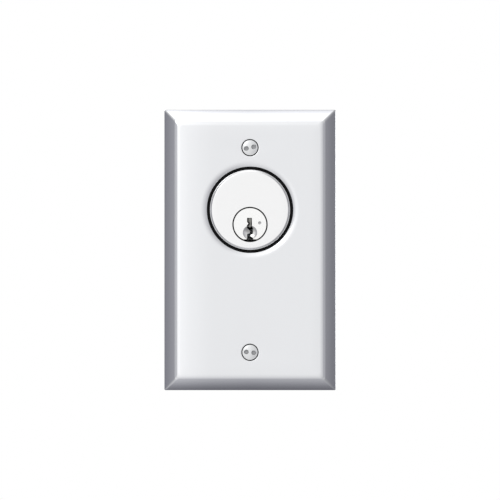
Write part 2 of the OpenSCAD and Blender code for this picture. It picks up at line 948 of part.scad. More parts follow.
module normally_closed_terminal() {
    half_w = roller_w / 2;
    color(BRASS)
    union() {
        terminal_tab(closed_x, closed_arm_z);
        block(
            [closed_x - tab_t / 2, switch_mid_y - half_w, closed_arm_z - 0.2],
            [contact_x + contact_r, switch_mid_y + half_w, closed_arm_z + 0.6]
        );
        translate([contact_x, switch_mid_y, closed_button_z])
            cylinder(h = 2 * button_h, r = contact_r);
    }
}

// The lever, drawn flat from the hinge: u runs along the strip and v away from the switch
module lever_frame() {
    translate([hinge[0], 0, hinge[1]])
        rotate([0, lever_lean, 0])
            children();
}

// The roller's centre in the lever's own directions
roller_uv = turned(roller_at - hinge, -lever_lean);

module switch_lever() {
    y0 = switch_mid_y - lever_w / 2;
    y1 = switch_mid_y + lever_w / 2;
    color(SPRING_STEEL)
    lever_frame()
    difference() {
        union() {
            block([-lever_len, y0, -lever_t / 2], [-0.6, y1, lever_t / 2]);
            rod([0, 0], y0, y1, knuckle_r);
            for (ear_y = [y0, y1 - ear_t]) {
                block(
                    [roller_uv[0] - ear_r, ear_y, 0],
                    [roller_uv[0] + ear_r, ear_y + ear_t, roller_uv[1]]
                );
                rod(roller_uv, ear_y, ear_y + ear_t, ear_r);
            }
        }
        rod([0, 0], y0 - CUT, y1 + CUT, knuckle_bore_r);
        rod(roller_uv, y0 - CUT, y1 + CUT, roller_pin_r + 0.01);
    }
}

module lever_hinge_pin() {
    color(SPRING_STEEL)
        rod(hinge, hinge_pin_y, cover_end_y - hinge_blind - 0.2, hinge_pin_r);
}

module lever_roller() {
    half_w = roller_w / 2;
    color(NICKEL_SILVER)
        tube(roller_at, switch_mid_y - half_w, switch_mid_y + half_w, roller_r, roller_bore_r);
}

module roller_pin() {
    half_w = lever_w / 2 + 0.1;
    color(SPRING_STEEL)
        rod(roller_at, switch_mid_y - half_w, switch_mid_y + half_w, roller_pin_r);
}

module ground_screw() {
    head_end_y = wall_back_y + ground_flange_t + ground_head_h;
    color(EARTH_GREEN)
    difference() {
        union() {
            rod(ground_at, wall_y - screw_tail, wall_back_y, ground_shank_r);
            rod(ground_at, wall_back_y, wall_back_y + ground_flange_t, ground_flange_r);
            hex_rod(ground_at, wall_back_y + ground_flange_t, head_end_y, ground_flats);
        }
        translate([ground_at[0], head_end_y, ground_at[1]])
            cube([3 * ground_flange_r, 2, ground_slot_w], center = true);
    }
}

// ---- Nodes ----

faceplate();
faceplate_screws();
weld_studs();
stud_washers();
stud_nuts();
mounting_bracket();
cylinder_seal();
cylinder_shell();
ring_washer();
ring_nut();
cylinder_plug();
for (i = [1:PINS]) {
    key_pin(i);
    driver_pin(i);
    driver_spring(i);
    chamber_cap(i);
}
cam();
cam_screws();
spring_retainer();
stop_pin();
return_spring();
spring_post();
switch_case();
switch_cover();
insulator_sheet();
switch_screws();
switch_nuts();
switch_plunger();
contact_blade();
common_terminal();
normally_open_terminal();
normally_closed_terminal();
switch_lever();
lever_hinge_pin();
lever_roller();
roller_pin();
ground_screw();
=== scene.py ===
import json
import math

import bmesh
import bpy
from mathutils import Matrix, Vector


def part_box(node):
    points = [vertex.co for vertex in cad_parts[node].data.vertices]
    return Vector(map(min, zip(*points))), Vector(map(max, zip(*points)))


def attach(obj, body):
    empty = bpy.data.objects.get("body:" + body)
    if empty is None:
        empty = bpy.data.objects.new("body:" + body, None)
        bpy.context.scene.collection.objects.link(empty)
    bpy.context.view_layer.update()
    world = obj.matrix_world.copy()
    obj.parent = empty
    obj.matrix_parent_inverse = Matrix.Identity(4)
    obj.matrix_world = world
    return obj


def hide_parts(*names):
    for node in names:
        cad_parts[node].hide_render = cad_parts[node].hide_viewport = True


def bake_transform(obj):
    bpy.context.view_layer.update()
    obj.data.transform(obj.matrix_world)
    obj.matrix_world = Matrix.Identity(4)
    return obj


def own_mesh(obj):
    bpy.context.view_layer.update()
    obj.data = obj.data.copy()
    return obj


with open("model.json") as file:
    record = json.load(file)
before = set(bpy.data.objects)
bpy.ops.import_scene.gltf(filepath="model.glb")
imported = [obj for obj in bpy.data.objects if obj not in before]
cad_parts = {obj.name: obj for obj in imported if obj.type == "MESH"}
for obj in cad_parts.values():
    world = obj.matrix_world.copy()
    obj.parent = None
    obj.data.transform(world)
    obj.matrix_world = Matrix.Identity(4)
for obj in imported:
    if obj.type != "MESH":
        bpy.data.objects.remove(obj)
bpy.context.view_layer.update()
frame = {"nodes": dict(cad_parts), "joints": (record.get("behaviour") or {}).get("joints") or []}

bl_info = {
    "name": "Key Switch Maker",
    "version": (1, 0, 0),
    "blender": (4, 5, 0),
    "location": "3D View > Sidebar > Key Switch",
    "description": "Makes the visible pieces, finishes and studio of a flush wall-mounted key switch",
    "category": "Object",
}

MM = 0.001


# ---- Places taken from the frame ----

def middle(node):
    low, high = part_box(node)
    return (low + high) / 2


def joint(name):
    return next(j for j in frame["joints"] if j["name"] == name)


PLATE_LOW, PLATE_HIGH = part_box("faceplate")
SCREWS_LOW, SCREWS_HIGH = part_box("faceplate_screws")
SHELL_LOW, SHELL_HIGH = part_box("cylinder_shell")
PLUG_LOW, PLUG_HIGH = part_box("cylinder_plug")
SEAL_LOW, SEAL_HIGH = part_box("cylinder_seal")
STUDS_LOW, STUDS_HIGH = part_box("weld_studs")
BRACKET_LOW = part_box("mounting_bracket")[0]
COIL_LOW, COIL_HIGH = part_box("return_spring")
CAM_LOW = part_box("cam")[0]
CYLINDER_AXIS = middle("cylinder_seal")
PLUG_AXIS = Vector(joint("plug_turn")["pos_m"])
PIN_COUNT = sum(1 for name in frame["nodes"] if name.startswith("key_pin_"))
HEAD_RADIUS = (SHELL_HIGH.x - SHELL_LOW.x) / 2
PLUG_FLANGE_RADIUS = (PLUG_HIGH.x - PLUG_LOW.x) / 2
SEAL_GAP = 0.06 * MM
PLATE_HOLE_RADIUS = (SEAL_HIGH.x - SEAL_LOW.x) / 2 + SEAL_GAP
BARREL_RADIUS = 14.6 * MM
PLUG_RADIUS = 6.35 * MM
BORE_RADIUS = 6.4 * MM
FLANGE_DEPTH = 3.2 * MM
PITCH_32 = 25.4 / 32 * MM
FLANGE_BORE_RADIUS = PLUG_FLANGE_RADIUS + 0.48 * MM
CHAMBER_RADIUS = 1.5 * MM
SPANNER_REACH = 1.55 * MM
SPANNER_RADIUS = 0.85 * MM
STOP_RADIUS = 1.2 * MM
GROOVE_DEPTH = 1.3 * MM
GROOVE_HALF = 1.5 * MM
TAP_REACH = 3.9 * MM
TAP_RADIUS = 1.25 * MM
TAP_DEPTH = 6.65 * MM
STUDIO_STRENGTH = 16.3
BOX_HEAD_RADIUS = (SCREWS_HIGH.x - SCREWS_LOW.x) / 2
BOX_SINK_RADIUS = BOX_HEAD_RADIUS + 0.36 * MM


# ---- Settings a user would change ----

def linear(hex_colour):
    """sRGB hex to the linear colour that the shaders take."""
    parts = [int(hex_colour[i:i + 2], 16) / 255 for i in (0, 2, 4)]
    return tuple(c / 12.92 if c <= 0.04045 else ((c + 0.055) / 1.055) ** 2.4 for c in parts)


def colour_setting(name, description, hex_colour):
    return bpy.props.FloatVectorProperty(
        name=name, description=description, subtype="COLOR", size=3, min=0, max=1, default=linear(hex_colour)
    )


def length_setting(name, description, default):
    return bpy.props.FloatProperty(name=name, description=description, default=default, min=0, unit="LENGTH")


def number_setting(name, description, default, low=0, high=1000):
    return bpy.props.FloatProperty(name=name, description=description, default=default, min=low, max=high)


class PlateSettings(bpy.types.PropertyGroup):
    """Sizes and colour of the wall plate."""
    sheet: length_setting("Sheet", "Thickness of the plate's sheet", 1.6 * MM)
    bevel: length_setting("Bevel", "Width of the bevel seen from the front", 5.2 * MM)
    rim_height: length_setting("Rim height", "Height of the bevel's foot above the wall", 1.0 * MM)
    rim_round: length_setting("Rim round", "Radius where the bevel turns to the wall", 0.8 * MM)
    bevel_bulge: number_setting(
        "Bevel bulge", "How far the bevel turns from its middle to each edge, in degrees", 6, 1, 15
    )
    fold_round: length_setting("Fold round", "Radius where the face turns into the bevel", 3.4 * MM)
    shoulder: length_setting("Shoulder", "Width over which the face settles flat inside the fold", 3.6 * MM)
    shoulder_tilt: number_setting("Shoulder tilt", "Tilt of the face at the fold, in degrees", 2.2, 0, 10)
    corner_round: length_setting("Corner round", "Radius of the plate's outer corners", 0.5 * MM)
    hole_roll: length_setting("Hole roll", "Width of the rolled-in edge round the lock's hole", 2.3 * MM)
    hole_roll_depth: length_setting("Hole roll depth", "Depth of that rolled-in edge", 0.55 * MM)
    grain: length_setting("Grain", "Spacing of the brushed grain", 0.45 * MM)
    steel: colour_setting("Stainless steel", "Colour of the brushed stainless steel", "E3E4E6")


class LockSettings(bpy.types.PropertyGroup):
    """Sizes and colours of the lock cylinder."""
    thread_pitch: length_setting("Thread pitch", "Pitch of the cylinder's 32-per-inch thread", PITCH_32)
    thread_depth: length_setting("Thread depth", "Height of the cylinder's thread", 0.42 * MM)
    edge: length_setting("Edge break", "Broken edge on turned pieces", 0.12 * MM)
    chrome: colour_setting("Satin chrome", "Colour of the cylinder's face", "F0F0F0")
    plug_chrome: colour_setting("Plug chrome", "Colour of the plug's face", "F4F4F3")
    brass: colour_setting("Brass", "Colour of the ring nut, pins and caps", "D9B35C")


class SwitchSettings(bpy.types.PropertyGroup):
    """Colours of the bracket and the snap switch."""
    zinc: colour_setting("Zinc", "Colour of the zinc-plated steel", "C9CDD2")
    case: colour_setting("Case", "Colour of the moulded case", "26272A")
    cover: colour_setting("Cover", "Colour of the moulded cover", "5F6266")
    plunger: colour_setting("Plunger", "Colour of the moulded plunger", "B3261E")
    green: colour_setting("Earth screw", "Colour of the earthing screw's coat", "1E7A3C")
    paper: colour_setting("Fish paper", "Colour of the insulating sheet", "6E747C")


class StudioSettings(bpy.types.PropertyGroup):
    """Camera and light."""
    frame_width: length_setting("Frame width", "Width of the picture at the plate", 203.6 * MM)
    camera_distance: length_setting("Camera distance", "From the camera to the plate's face", 4.0)
    floor_drop: length_setting("Floor drop", "From the plate's centre down to the floor", 0.95)
    key_power: number_setting("Key light", "Power of the key light", 2.0)
    floor_power: number_setting("Floor light", "Power of the floor's light", 16)
    fill_power: number_setting("Fill light", "Power of the left rear light", 2.5)


# ---- Node trees ----

def add(tree, kind, settings=None, links=None):
    """Add a shader node: settings fill its properties or inputs, links feed an input from an output."""
    made = tree.nodes.new("ShaderNode" + kind)
    for key, value in (settings or {}).items():
        if isinstance(key, str) and hasattr(made, key):
            setattr(made, key, value)
        else:
            made.inputs[key].default_value = value
    for key, source in (links or {}).items():
        tree.links.new(source, made.inputs[key])
    return made


def new_material(name, colour, metallic, roughness, **shader):
    """A material with its principled shader set; returns the material, its tree and the shader."""
    material = bpy.data.materials.new(name)
    material.use_nodes = True
    material.diffuse_color = (*colour, 1)
    tree = material.node_tree
    surface = tree.nodes["Principled BSDF"]
    surface.inputs["Base Color"].default_value = (*colour, 1)
    surface.inputs["Metallic"].default_value = metallic
    surface.inputs["Roughness"].default_value = roughness
    for key, value in shader.items():
        surface.inputs[key.replace("_", " ")].default_value = value
    return material, tree, surface


def place_in_mm(tree, spacing):
    """Object coordinates scaled so that one unit is the given spacing, in mm, on each axis."""
    where = add(tree, "TexCoord").outputs["Object"]
    scale = [1 / (s * MM) for s in spacing]
    return add(tree, "VectorMath", {"operation": "MULTIPLY", 1: scale}, {0: where}).outputs[0]


def place_from(tree, centre):
    """Object coordinates counted from a point."""
    where = add(tree, "TexCoord").outputs["Object"]
    return add(tree, "VectorMath", {"operation": "SUBTRACT", 1: tuple(centre)}, {0: where}).outputs[0]


def noise(tree, spacing, detail=2.0, rough=0.5):
    """Noise at a spacing in mm: one number, or one for each axis."""
    place = place_in_mm(tree, spacing if isinstance(spacing, tuple) else (spacing,) * 3)
    settings = {"Scale": 1.0, "Detail": detail, "Roughness": rough}
    return add(tree, "TexNoise", settings, {"Vector": place}).outputs["Fac"]


def spread(tree, source, low, high):
    """A 0 to 1 value spread between two numbers."""
    settings = {"From Min": 0.3, "From Max": 0.7, "To Min": low, "To Max": high}
    return add(tree, "MapRange", settings, {"Value": source}).outputs["Result"]


def roughen(tree, surface, source, low, high):
    """Roughness spread between two numbers by a 0 to 1 value."""
    tree.links.new(spread(tree, source, low, high), surface.inputs["Roughness"])


def tint(tree, surface, source, dark, light):
    """Colour that drifts between two tints with a 0 to 1 value."""
    mix = add(tree, "Mix", {"data_type": "RGBA"}, {"Factor": source})
    mix.inputs["A"].default_value = (*dark, 1)
    mix.inputs["B"].default_value = (*light, 1)
    tree.links.new(mix.outputs["Result"], surface.inputs["Base Color"])


def raise_bumps(tree, surface, height, depth_mm, strength=1.0):
    bump = add(tree, "Bump", {"Strength": strength, "Distance": depth_mm * MM}, {"Height": height})
    tree.links.new(bump.outputs["Normal"], surface.inputs["Normal"])


def darker(colour, share):
    return tuple(c * share for c in colour)


def brushed_stainless(colour, grain_mm):
    """Type 304 stainless steel, belt brushed: fine upright streaks, and a painted sheen that makes the colour
    brighter towards the left.
    """
    material, tree, surface = new_material("stainless_304_belt_brushed", colour, 1.0, 0.24)
    # Real grit lines, about 0.05 mm wide, are too fine to show, so they are as wide as the grain setting.
    streaks = noise(tree, (grain_mm, grain_mm, grain_mm * 60), 3.0, 0.6)
    clouds = noise(tree, (22, 22, 40), 2.0)
    roughen(tree, surface, streaks, 0.225, 0.255)
    # Painted sheen: the colour is made a little brighter towards the left edge, standing in for the key
    # light's highlight there.
    across = add(tree, "SeparateXYZ", {}, {0: place_in_mm(tree, (1, 1, 1))})
    fresh = add(tree, "MapRange", {
        "interpolation_type": "SMOOTHSTEP", "From Min": -13, "From Max": -36, "To Min": 0.0, "To Max": 1.0
    }, {"Value": across.outputs["X"]})
    # The tint mixes cloudy tone, which is real, with the painted sheen.
    drift = add(tree, "Math", {"operation": "MULTIPLY_ADD", 1: 0.12}, {0: clouds, 2: fresh.outputs["Result"]})
    tint(tree, surface, drift.outputs[0], colour, tuple(c * 1.15 for c in colour))
    raise_bumps(tree, surface, streaks, 0.0003)
    return material


def turned_metal(name, colour, roughness, axis, line_mm, line_depth_mm, drift=0.95):
    """Metal faced in a lathe: faint rings round its axis that break the shine into a soft fan."""
    material, tree, surface = new_material(name, colour, 1.0, roughness)
    from_axis = place_from(tree, axis)
    flat = add(tree, "VectorMath", {"operation": "MULTIPLY", 1: (1, 0, 1)}, {0: from_axis})
    radius = add(tree, "VectorMath", {"operation": "LENGTH"}, {0: flat.outputs[0]})
    depth = add(tree, "SeparateXYZ", {}, {0: from_axis})
    across = add(tree, "Math", {"operation": "ADD"}, {0: radius.outputs["Value"], 1: depth.outputs["Y"]})
    lines = add(tree, "Math", {"operation": "MULTIPLY", 1: 1 / (line_mm * MM)}, {0: across.outputs[0]})
    settings = {"noise_dimensions": "1D", "Scale": 1.0, "Detail": 3.0}
    rings = add(tree, "TexNoise", settings, {"W": lines.outputs[0]})
    wear = noise(tree, 6, 2.0)
    roughen(tree, surface, rings.outputs["Fac"], roughness * 0.85, roughness * 1.2)
    tint(tree, surface, wear, darker(colour, drift), colour)
    raise_bumps(tree, surface, rings.outputs["Fac"], line_depth_mm)
    return material


def dusted(material, centre, reach, depth, share):
    """Painted shade: greys a metal round a point wherever it lies below the face, such as the plug's lead-in
    dish.
    """
    tree = material.node_tree
    colour = tree.nodes["Principled BSDF"].inputs["Base Color"]
    clean = colour.links[0].from_socket
    from_centre = place_from(tree, centre)
    away = add(tree, "VectorMath", {"operation": "LENGTH"}, {0: from_centre})
    below = add(tree, "SeparateXYZ", {}, {0: from_centre})
    near = add(tree, "MapRange", {
        "interpolation_type": "SMOOTHSTEP", "From Min": reach, "From Max": reach * 0.4, "To Max": share
    }, {"Value": away.outputs["Value"]})
    sunk = add(tree, "MapRange", {"From Min": 0.0, "From Max": depth}, {"Value": below.outputs["Y"]})
    parts = {0: near.outputs["Result"], 1: sunk.outputs["Result"]}
    dust = add(tree, "Math", {"operation": "MULTIPLY"}, parts)
    mix = add(tree, "Mix", {"data_type": "RGBA"}, {"Factor": dust.outputs[0]})
    tree.links.new(clean, mix.inputs["A"])
    # The colour of the painted shade.
    mix.inputs["B"].default_value = (*linear("303030"), 1)
    tree.links.new(mix.outputs["Result"], colour)
    return material


def zinc_plated(colour):
    """Sheet steel, zinc plated with a blue passivate: a grey shine with faint blue and straw clouds."""
    material, tree, surface = new_material("zinc_plated_steel_passivated", colour, 1.0, 0.32)
    clouds = noise(tree, 7, 4.0, 0.6)
    grains = add(tree, "TexVoronoi", {"Scale": 1.0}, {"Vector": place_in_mm(tree, (0.9, 0.9, 0.9))})
    straw = (colour[0] * 0.98, colour[1] * 0.96, colour[2] * 0.86)
    blue = (colour[0] * 0.86, colour[1] * 0.93, colour[2] * 1.0)
    tint(tree, surface, spread(tree, clouds, 0.0, 1.0), straw, blue)
    roughen(tree, surface, grains.outputs["Distance"], 0.3, 0.345)
    raise_bumps(tree, surface, clouds, 0.02)
    return material


def textured(name, colour, metallic, roughness, marks, patches, tints, depth_mm, shine=None, **shader):
    """A finish whose fine marks raise bumps and spread the shine, and whose patches drift the tint."""
    material, tree, surface = new_material(name, colour, metallic, roughness, **shader)
    fine = noise(tree, *marks)
    wide = noise(tree, *patches) if patches else spread(tree, fine, 0, 1)
    tint(tree, surface, wide, darker(colour, tints[0]), darker(colour, tints[1]))
    if shine:
        roughen(tree, surface, fine, roughness * shine[0], roughness * shine[1])
    raise_bumps(tree, surface, fine, depth_mm)
    return material


def drawn_wire(name, colour, roughness):
    """Hard-drawn spring steel: a dark oiled grey with die lines, smoother than turned metal."""
    marks, oil = (0.25, 3.0, 0.65), (3, 2.0)
    return textured(name, colour, 1.0, roughness, marks, oil, (0.75, 1), 0.004, (0.7, 1.35))


def moulded_plastic(name, colour, roughness, grit_mm, grit_depth_mm, drift):
    """Moulded plastic from a spark-eroded tool: an even pebbled skin that spreads the light."""
    skin, flow = (grit_mm, 2.0, 0.5), ((9, 9, 5), 3.0, 0.55)
    shine = (0.85, 1.15)
    return textured(name, colour, 0.0, roughness, skin, flow, (drift, 1), grit_depth_mm, shine, IOR=1.5)


def moulded_rubber():
    """Black EPDM rubber, moulded: nearly no shine and a fine talc haze."""
    colour, haze = linear("0B0B0C"), (0.6, 3.0)
    return textured(
        "epdm_rubber_moulded", colour, 0.0, 0.85, haze, haze, (0.6, 1.3), 0.02, Specular_IOR_Level=0.2
    )


def fish_paper(colour):
    """Vulcanised fibre sheet: pressed paper with short fibres lying every way."""
    fibres = ((0.25, 0.25, 1.6), 4.0, 0.7)
    return textured("vulcanised_fibre_pressed", colour, 0.0, 0.75, fibres, None, (0.72, 1.15), 0.02, IOR=1.5)


def coated_green(colour):
    """Steel screw with a dyed zinc coat: green over metal, worn a little brighter in patches."""
    return textured("dyed_zinc_coated_steel", colour, 0.55, 0.38, (1.4, 4.0, 0.6), None, (0.75, 1.3), 0.01)


FINISHES = {}


def finishes():
    """Every material by its short name, made once from the settings."""
    if FINISHES:
        return FINISHES
    scene = bpy.context.scene
    plate, lock, switch = scene.plate_settings, scene.lock_settings, scene.switch_settings
    brass = tuple(lock.brass)
    FINISHES.update(
        stainless=brushed_stainless(tuple(plate.steel), plate.grain / MM),
        # Stainless screws, turned and tumbled bright.
        screw_steel=turned_metal(
            "stainless_304_turned_tumbled", linear("DEDFE0"), 0.22, (0, 0, SCREWS_HIGH.z), 0.3, 0.002
        ),
        # Brass cylinder, chrome plated and satin faced.
        chrome=turned_metal(
            "chrome_plated_brass_satin", tuple(lock.chrome), 0.2, CYLINDER_AXIS, 0.35, 0.0006, 0.985
        ),
        # The plug's face is greyed round the lead-in dish below the key way, as painted shade.
        plug_chrome=dusted(turned_metal(
            "chrome_plated_brass_bright", tuple(lock.plug_chrome), 0.14, PLUG_AXIS, 0.3, 0.0004, 0.985
        ), Vector((0, PLUG_LOW.y, PLUG_AXIS.z - 2.2 * MM)), 2.8 * MM, 0.25 * MM, 0.62),
        # Ring nut, pins and caps, turned from bar.
        brass=turned_metal("free_cutting_brass_turned", brass, 0.26, CYLINDER_AXIS, 0.3, 0.004),
        # Driver pins and roller, turned from bar.
        nickel=turned_metal("nickel_silver_turned", linear("CFCBBF"), 0.24, PLUG_AXIS, 0.25, 0.003),
        # Key pins, of the same bar, coloured darker as painted shade for their place deep in the key way.
        worn_nickel=turned_metal(
            "nickel_silver_turned_rubbed", linear("8A8A87"), 0.1, PLUG_AXIS, 0.25, 0.0003
        ),
        zinc=zinc_plated(tuple(switch.zinc)),
        wire=drawn_wire("spring_steel_hard_drawn", linear("A2A5AA"), 0.26),
        lever=drawn_wire("spring_steel_strip_rolled", linear("B9BCC0"), 0.3),
        # Terminals, stamped from tinned brass strip.
        terminal=drawn_wire("brass_strip_tinned_stamped", linear("D8C790"), 0.3),
        # Drilled holes in the box screws and the plate's screw sinks, darkened as painted shade.
        hole_grime=drawn_wire("stainless_304_drilled_oiled", linear("2E2E30"), 0.5),
        # Floors of the spanner holes, a mid grey as painted shade.
        hole_floor=drawn_wire("stainless_304_drilled_dusty", linear("A6A7A9"), 0.45),
        # The mark beside the key way, struck through the chrome, its cone greyed as painted shade.
        mark_dust=drawn_wire("chrome_plated_brass_struck_dusty", linear("CFCFCF"), 0.6),
        # Bored and broached brass, near black as painted shade in the key way, the bore round the plug and
        # under the foot flat.
        graphite=drawn_wire("brass_broached_graphited", linear("1C1B1A"), 0.6),
        case=moulded_plastic("phenolic_moulded", tuple(switch.case), 0.42, 0.3, 0.01, 0.75),
        cover=moulded_plastic("pbt_glass_filled_moulded", tuple(switch.cover), 0.5, 0.35, 0.012, 0.85),
        plunger=moulded_plastic("acetal_moulded", tuple(switch.plunger), 0.3, 0.5, 0.004, 0.85),
        rubber=moulded_rubber(),
        paper=fish_paper(tuple(switch.paper)),
        green=coated_green(tuple(switch.green)),
    )
    return FINISHES


# ---- Mesh work ----

def new_object(name, vertices, faces):
    mesh = bpy.data.meshes.new(name)
    mesh.from_pydata([tuple(v) for v in vertices], [], faces)
    work = bmesh.new()
    work.from_mesh(mesh)
    bmesh.ops.recalc_face_normals(work, faces=work.faces)
    work.to_mesh(mesh)
    work.free()
    made = bpy.data.objects.new(name, mesh)
    bpy.context.scene.collection.objects.link(made)
    return made


def shade(made, sharp_degrees=32):
    mesh = made.data
    mesh.shade_smooth()
    mesh.set_sharp_from_angle(angle=math.radians(sharp_degrees))


def hand_over(made, finish, body, node, sharp_degrees=32):
    """Give a piece its finish, attach it to the body it rides on and hide the CAD node it stands for."""
    made.data.materials.clear()
    made.data.materials.append(finishes()[finish])
    shade(made, sharp_degrees)
    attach(made, body)
    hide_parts(node)
    return made


def grime(made, finish, inside):
    """Give the faces inside a recess their own darker finish, as painted shade."""
    made.data.materials.append(finishes()[finish])
    last = len(made.data.materials) - 1
    for face in made.data.polygons:
        if inside(face.center):
            face.material_index = last


def join(loops):
    """Faces between loops of vertex numbers. A corner that repeats is dropped."""
    faces = []
    for one, two in zip(loops, loops[1:]):
        for k in range(len(one)):
            n = (k + 1) % len(one)
            corners = [one[k], one[n], two[n], two[k]]
            face = [c for i, c in enumerate(corners) if c not in corners[:i]]
            if len(face) > 2:
                faces.append(face)
    return faces


def turned(rows, axis, segments=96, pitch=0.001, closed=False):
    """Vertices and faces turned about a line along Y. A row is (radius, depth[, thread height])."""
    vertices, rings = [], []
    for radius, depth, *thread in rows:
        height = thread[0] if thread else 0
        if radius == 0:
            rings.append([len(vertices)] * segments)
            vertices.append((axis[0], depth, axis[2]))
            continue
        rings.append(list(range(len(vertices), len(vertices) + segments)))
        for k in range(segments):
            share = k / segments
            # A thread's height falls off on both sides of its crest.
            phase = (depth / pitch - share) % 1
            r = radius - height * min(1, 1.25 * abs(2 * phase - 1))
            a = math.tau * share
            vertices.append((axis[0] + r * math.sin(a), depth, axis[2] + r * math.cos(a)))
    return vertices, join(rings + rings[:1] if closed else rings)


def thread_rows(radius, height, start, end, pitch, per_turn=8, fade=1.0):
    """Rows for a threaded stretch that fades in and out over a turn or so."""
    count = max(2, round((end - start) / pitch * per_turn))
    rows = []
    for i in range(count + 1):
        depth = start + (end - start) * i / count
        near_end = min(depth - start, end - depth) / (fade * pitch)
        rows.append((radius, depth, height * min(1, max(near_end, 0.001))))
    return rows


def between(one, two):
    """Vertices and faces of a solid between two loops of points."""
    count = len(one)
    faces = [list(range(count)), list(range(2 * count - 1, count - 1, -1))]
    faces += [[i, (i + 1) % count, count + (i + 1) % count, count + i] for i in range(count)]
    return one + two, faces


def prism(outline, start, end):
    """A flat outline in X and Z, carried from one depth to another."""
    return between([(x, start, z) for x, z in outline], [(x, end, z) for x, z in outline])


def upright_rod(x, y, start, end, radius, segments=40):
    """A rod along Z, used as a drill."""
    turns = [math.tau * k / segments for k in range(segments)]
    ring = [(x + radius * math.cos(a), y + radius * math.sin(a)) for a in turns]
    return between([(*p, start) for p in ring], [(*p, end) for p in ring])


def box_shape(low, high):
    """A block between two corners, used as a cutter."""
    outline = [(low[0], low[2]), (high[0], low[2]), (high[0], high[2]), (low[0], high[2])]
    return prism(outline, low[1], high[1])


def drilled(axis, radius, start, end, tip=0.0):
    """A drill along Y between two depths, with a cone of the given height at its start."""
    return turned([(0, start - tip), (radius, start), (radius, end), (0, end)], axis, 32)


def off_axis(point, axis):
    """Distance of a point from a line along Y."""
    return math.hypot(point.x - axis.x, point.z - axis.z)


def cut(made, shapes):
    """Cut shapes out of a piece, one after another, and keep the result as its mesh."""
    for vertices, faces in shapes:
        tool = new_object("cutter", vertices, faces)
        step = made.modifiers.new("cut", "BOOLEAN")
        step.operation = "DIFFERENCE"
        step.solver = "EXACT"
        step.object = tool
        bake(made)
        mesh = tool.data
        bpy.data.objects.remove(tool)
        bpy.data.meshes.remove(mesh)
    return made


def bake(made):
    """Apply a piece's modifiers."""
    view = bpy.context.evaluated_depsgraph_get()
    view.update()
    old = made.data
    made.data = bpy.data.meshes.new_from_object(made.evaluated_get(view))
    made.modifiers.clear()
    made.data.name = made.name
    bpy.data.meshes.remove(old)


def tube_along(path, radius, sides=10):
    """Vertices and faces of a round wire along a path, with closed ends."""
    points = [Vector(p) for p in path]
    along = (points[1] - points[0]).normalized()
    side = along.orthogonal().normalized()
    vertices = []
    for i, point in enumerate(points):
        ahead = points[min(i + 1, len(points) - 1)] - points[max(i - 1, 0)]
        ahead.normalize()
        side = (side - ahead * side.dot(ahead)).normalized()
        up = ahead.cross(side)
        for k in range(sides):
            a = math.tau * k / sides
            vertices.append(point + radius * (side * math.cos(a) + up * math.sin(a)))
    rings = [list(range(i * sides, (i + 1) * sides)) for i in range(len(points))]
    faces = join(rings)
    faces.append(list(range(sides)))
    faces.append([len(vertices) - 1 - k for k in range(sides)])
    return vertices, faces


def soften(node, finish, edge_mm=0.1, sharp_degrees=32):
    """Keep a CAD node's shape, break its sharp edges and give it its finish."""
    made = frame["nodes"][node]
    weld = made.modifiers.new("weld", "WELD")
    weld.merge_threshold = 0.0005 * MM
    flatten = made.modifiers.new("flatten", "DECIMATE")
    flatten.decimate_type = "DISSOLVE"
    flatten.angle_limit = math.radians(0.5)
    bevel = made.modifiers.new("edge", "BEVEL")
    bevel.width = edge_mm * MM
    bevel.segments = 2
    bevel.limit_method = "ANGLE"
    bevel.angle_limit = math.radians(sharp_degrees)
    bevel.use_clamp_overlap = True
    bevel.harden_normals = False
    normals = made.modifiers.new("normals", "WEIGHTED_NORMAL")
    normals.keep_sharp = True
    for slot in made.material_slots:
        slot.material = finishes()[finish]
    if not made.material_slots:
        made.data.materials.append(finishes()[finish])


# ---- Wall plate ----

def arc(centre, radius, start, end, steps):
    """Points on an arc, angles in degrees."""
    turns = [math.radians(start + (end - start) * i / steps) for i in range(steps + 1)]
    return [(centre[0] + radius * math.cos(a), centre[1] + radius * math.sin(a)) for a in turns]


def plate_section(plate, inset):
    """The plate's edge from the wall to its flat face, as (distance inside the outline, depth) points."""
    rise = PLATE_HIGH.y - PLATE_LOW.y - plate.rim_height
    lean = math.degrees(math.atan2(plate.bevel, rise))
    drop = plate.shoulder * math.tan(math.radians(plate.shoulder_tilt)) / 2
    flat = 90 - plate.shoulder_tilt
    # The edge turns from facing outwards (0) to facing forwards (90) in three arcs: rim, bevel and fold.
    turns = [0, lean - plate.bevel_bulge, lean + plate.bevel_bulge, flat]
    across = [math.cos(math.radians(a)) - math.cos(math.radians(b)) for a, b in zip(turns, turns[1:])]
    up = [math.sin(math.radians(b)) - math.sin(math.radians(a)) for a, b in zip(turns, turns[1:])]
    width = plate.bevel + plate.fold_round * math.tan(math.radians((flat - lean) / 2))
    bevel_radius = (width - plate.rim_round * across[0] - plate.fold_round * across[2]) / across[1]
    radii = [plate.rim_round, bevel_radius, plate.fold_round]
    at = Vector((0, PLATE_LOW.y + drop + sum(r * u for r, u in zip(radii, up))))
    points = [(inset, PLATE_HIGH.y)]
    for radius, start, end, steps in zip(radii, turns, turns[1:], (10, 16, 18)):
        centre = at + Vector((radius * math.cos(math.radians(start)), radius * math.sin(math.radians(start))))
        swept = arc((0, 0), radius - inset, start, end, steps)
        if radius > inset:
            points += [(max(centre.x - x, inset), centre.y - y) for x, y in swept]
        at = centre - Vector((radius * math.cos(math.radians(end)), radius * math.sin(math.radians(end))))
    # Inside the fold the face climbs its last tenth of a millimetre over a wide shoulder.
    edge, top = points[-1], PLATE_LOW.y + inset
    for i in range(1, 13):
        share = i / 12
        points.append((edge[0] + plate.shoulder * share, top + (edge[1] - top) * (1 - share) ** 2))
    points.append((edge[0] + plate.shoulder + 0.6 * MM, top))
    return points


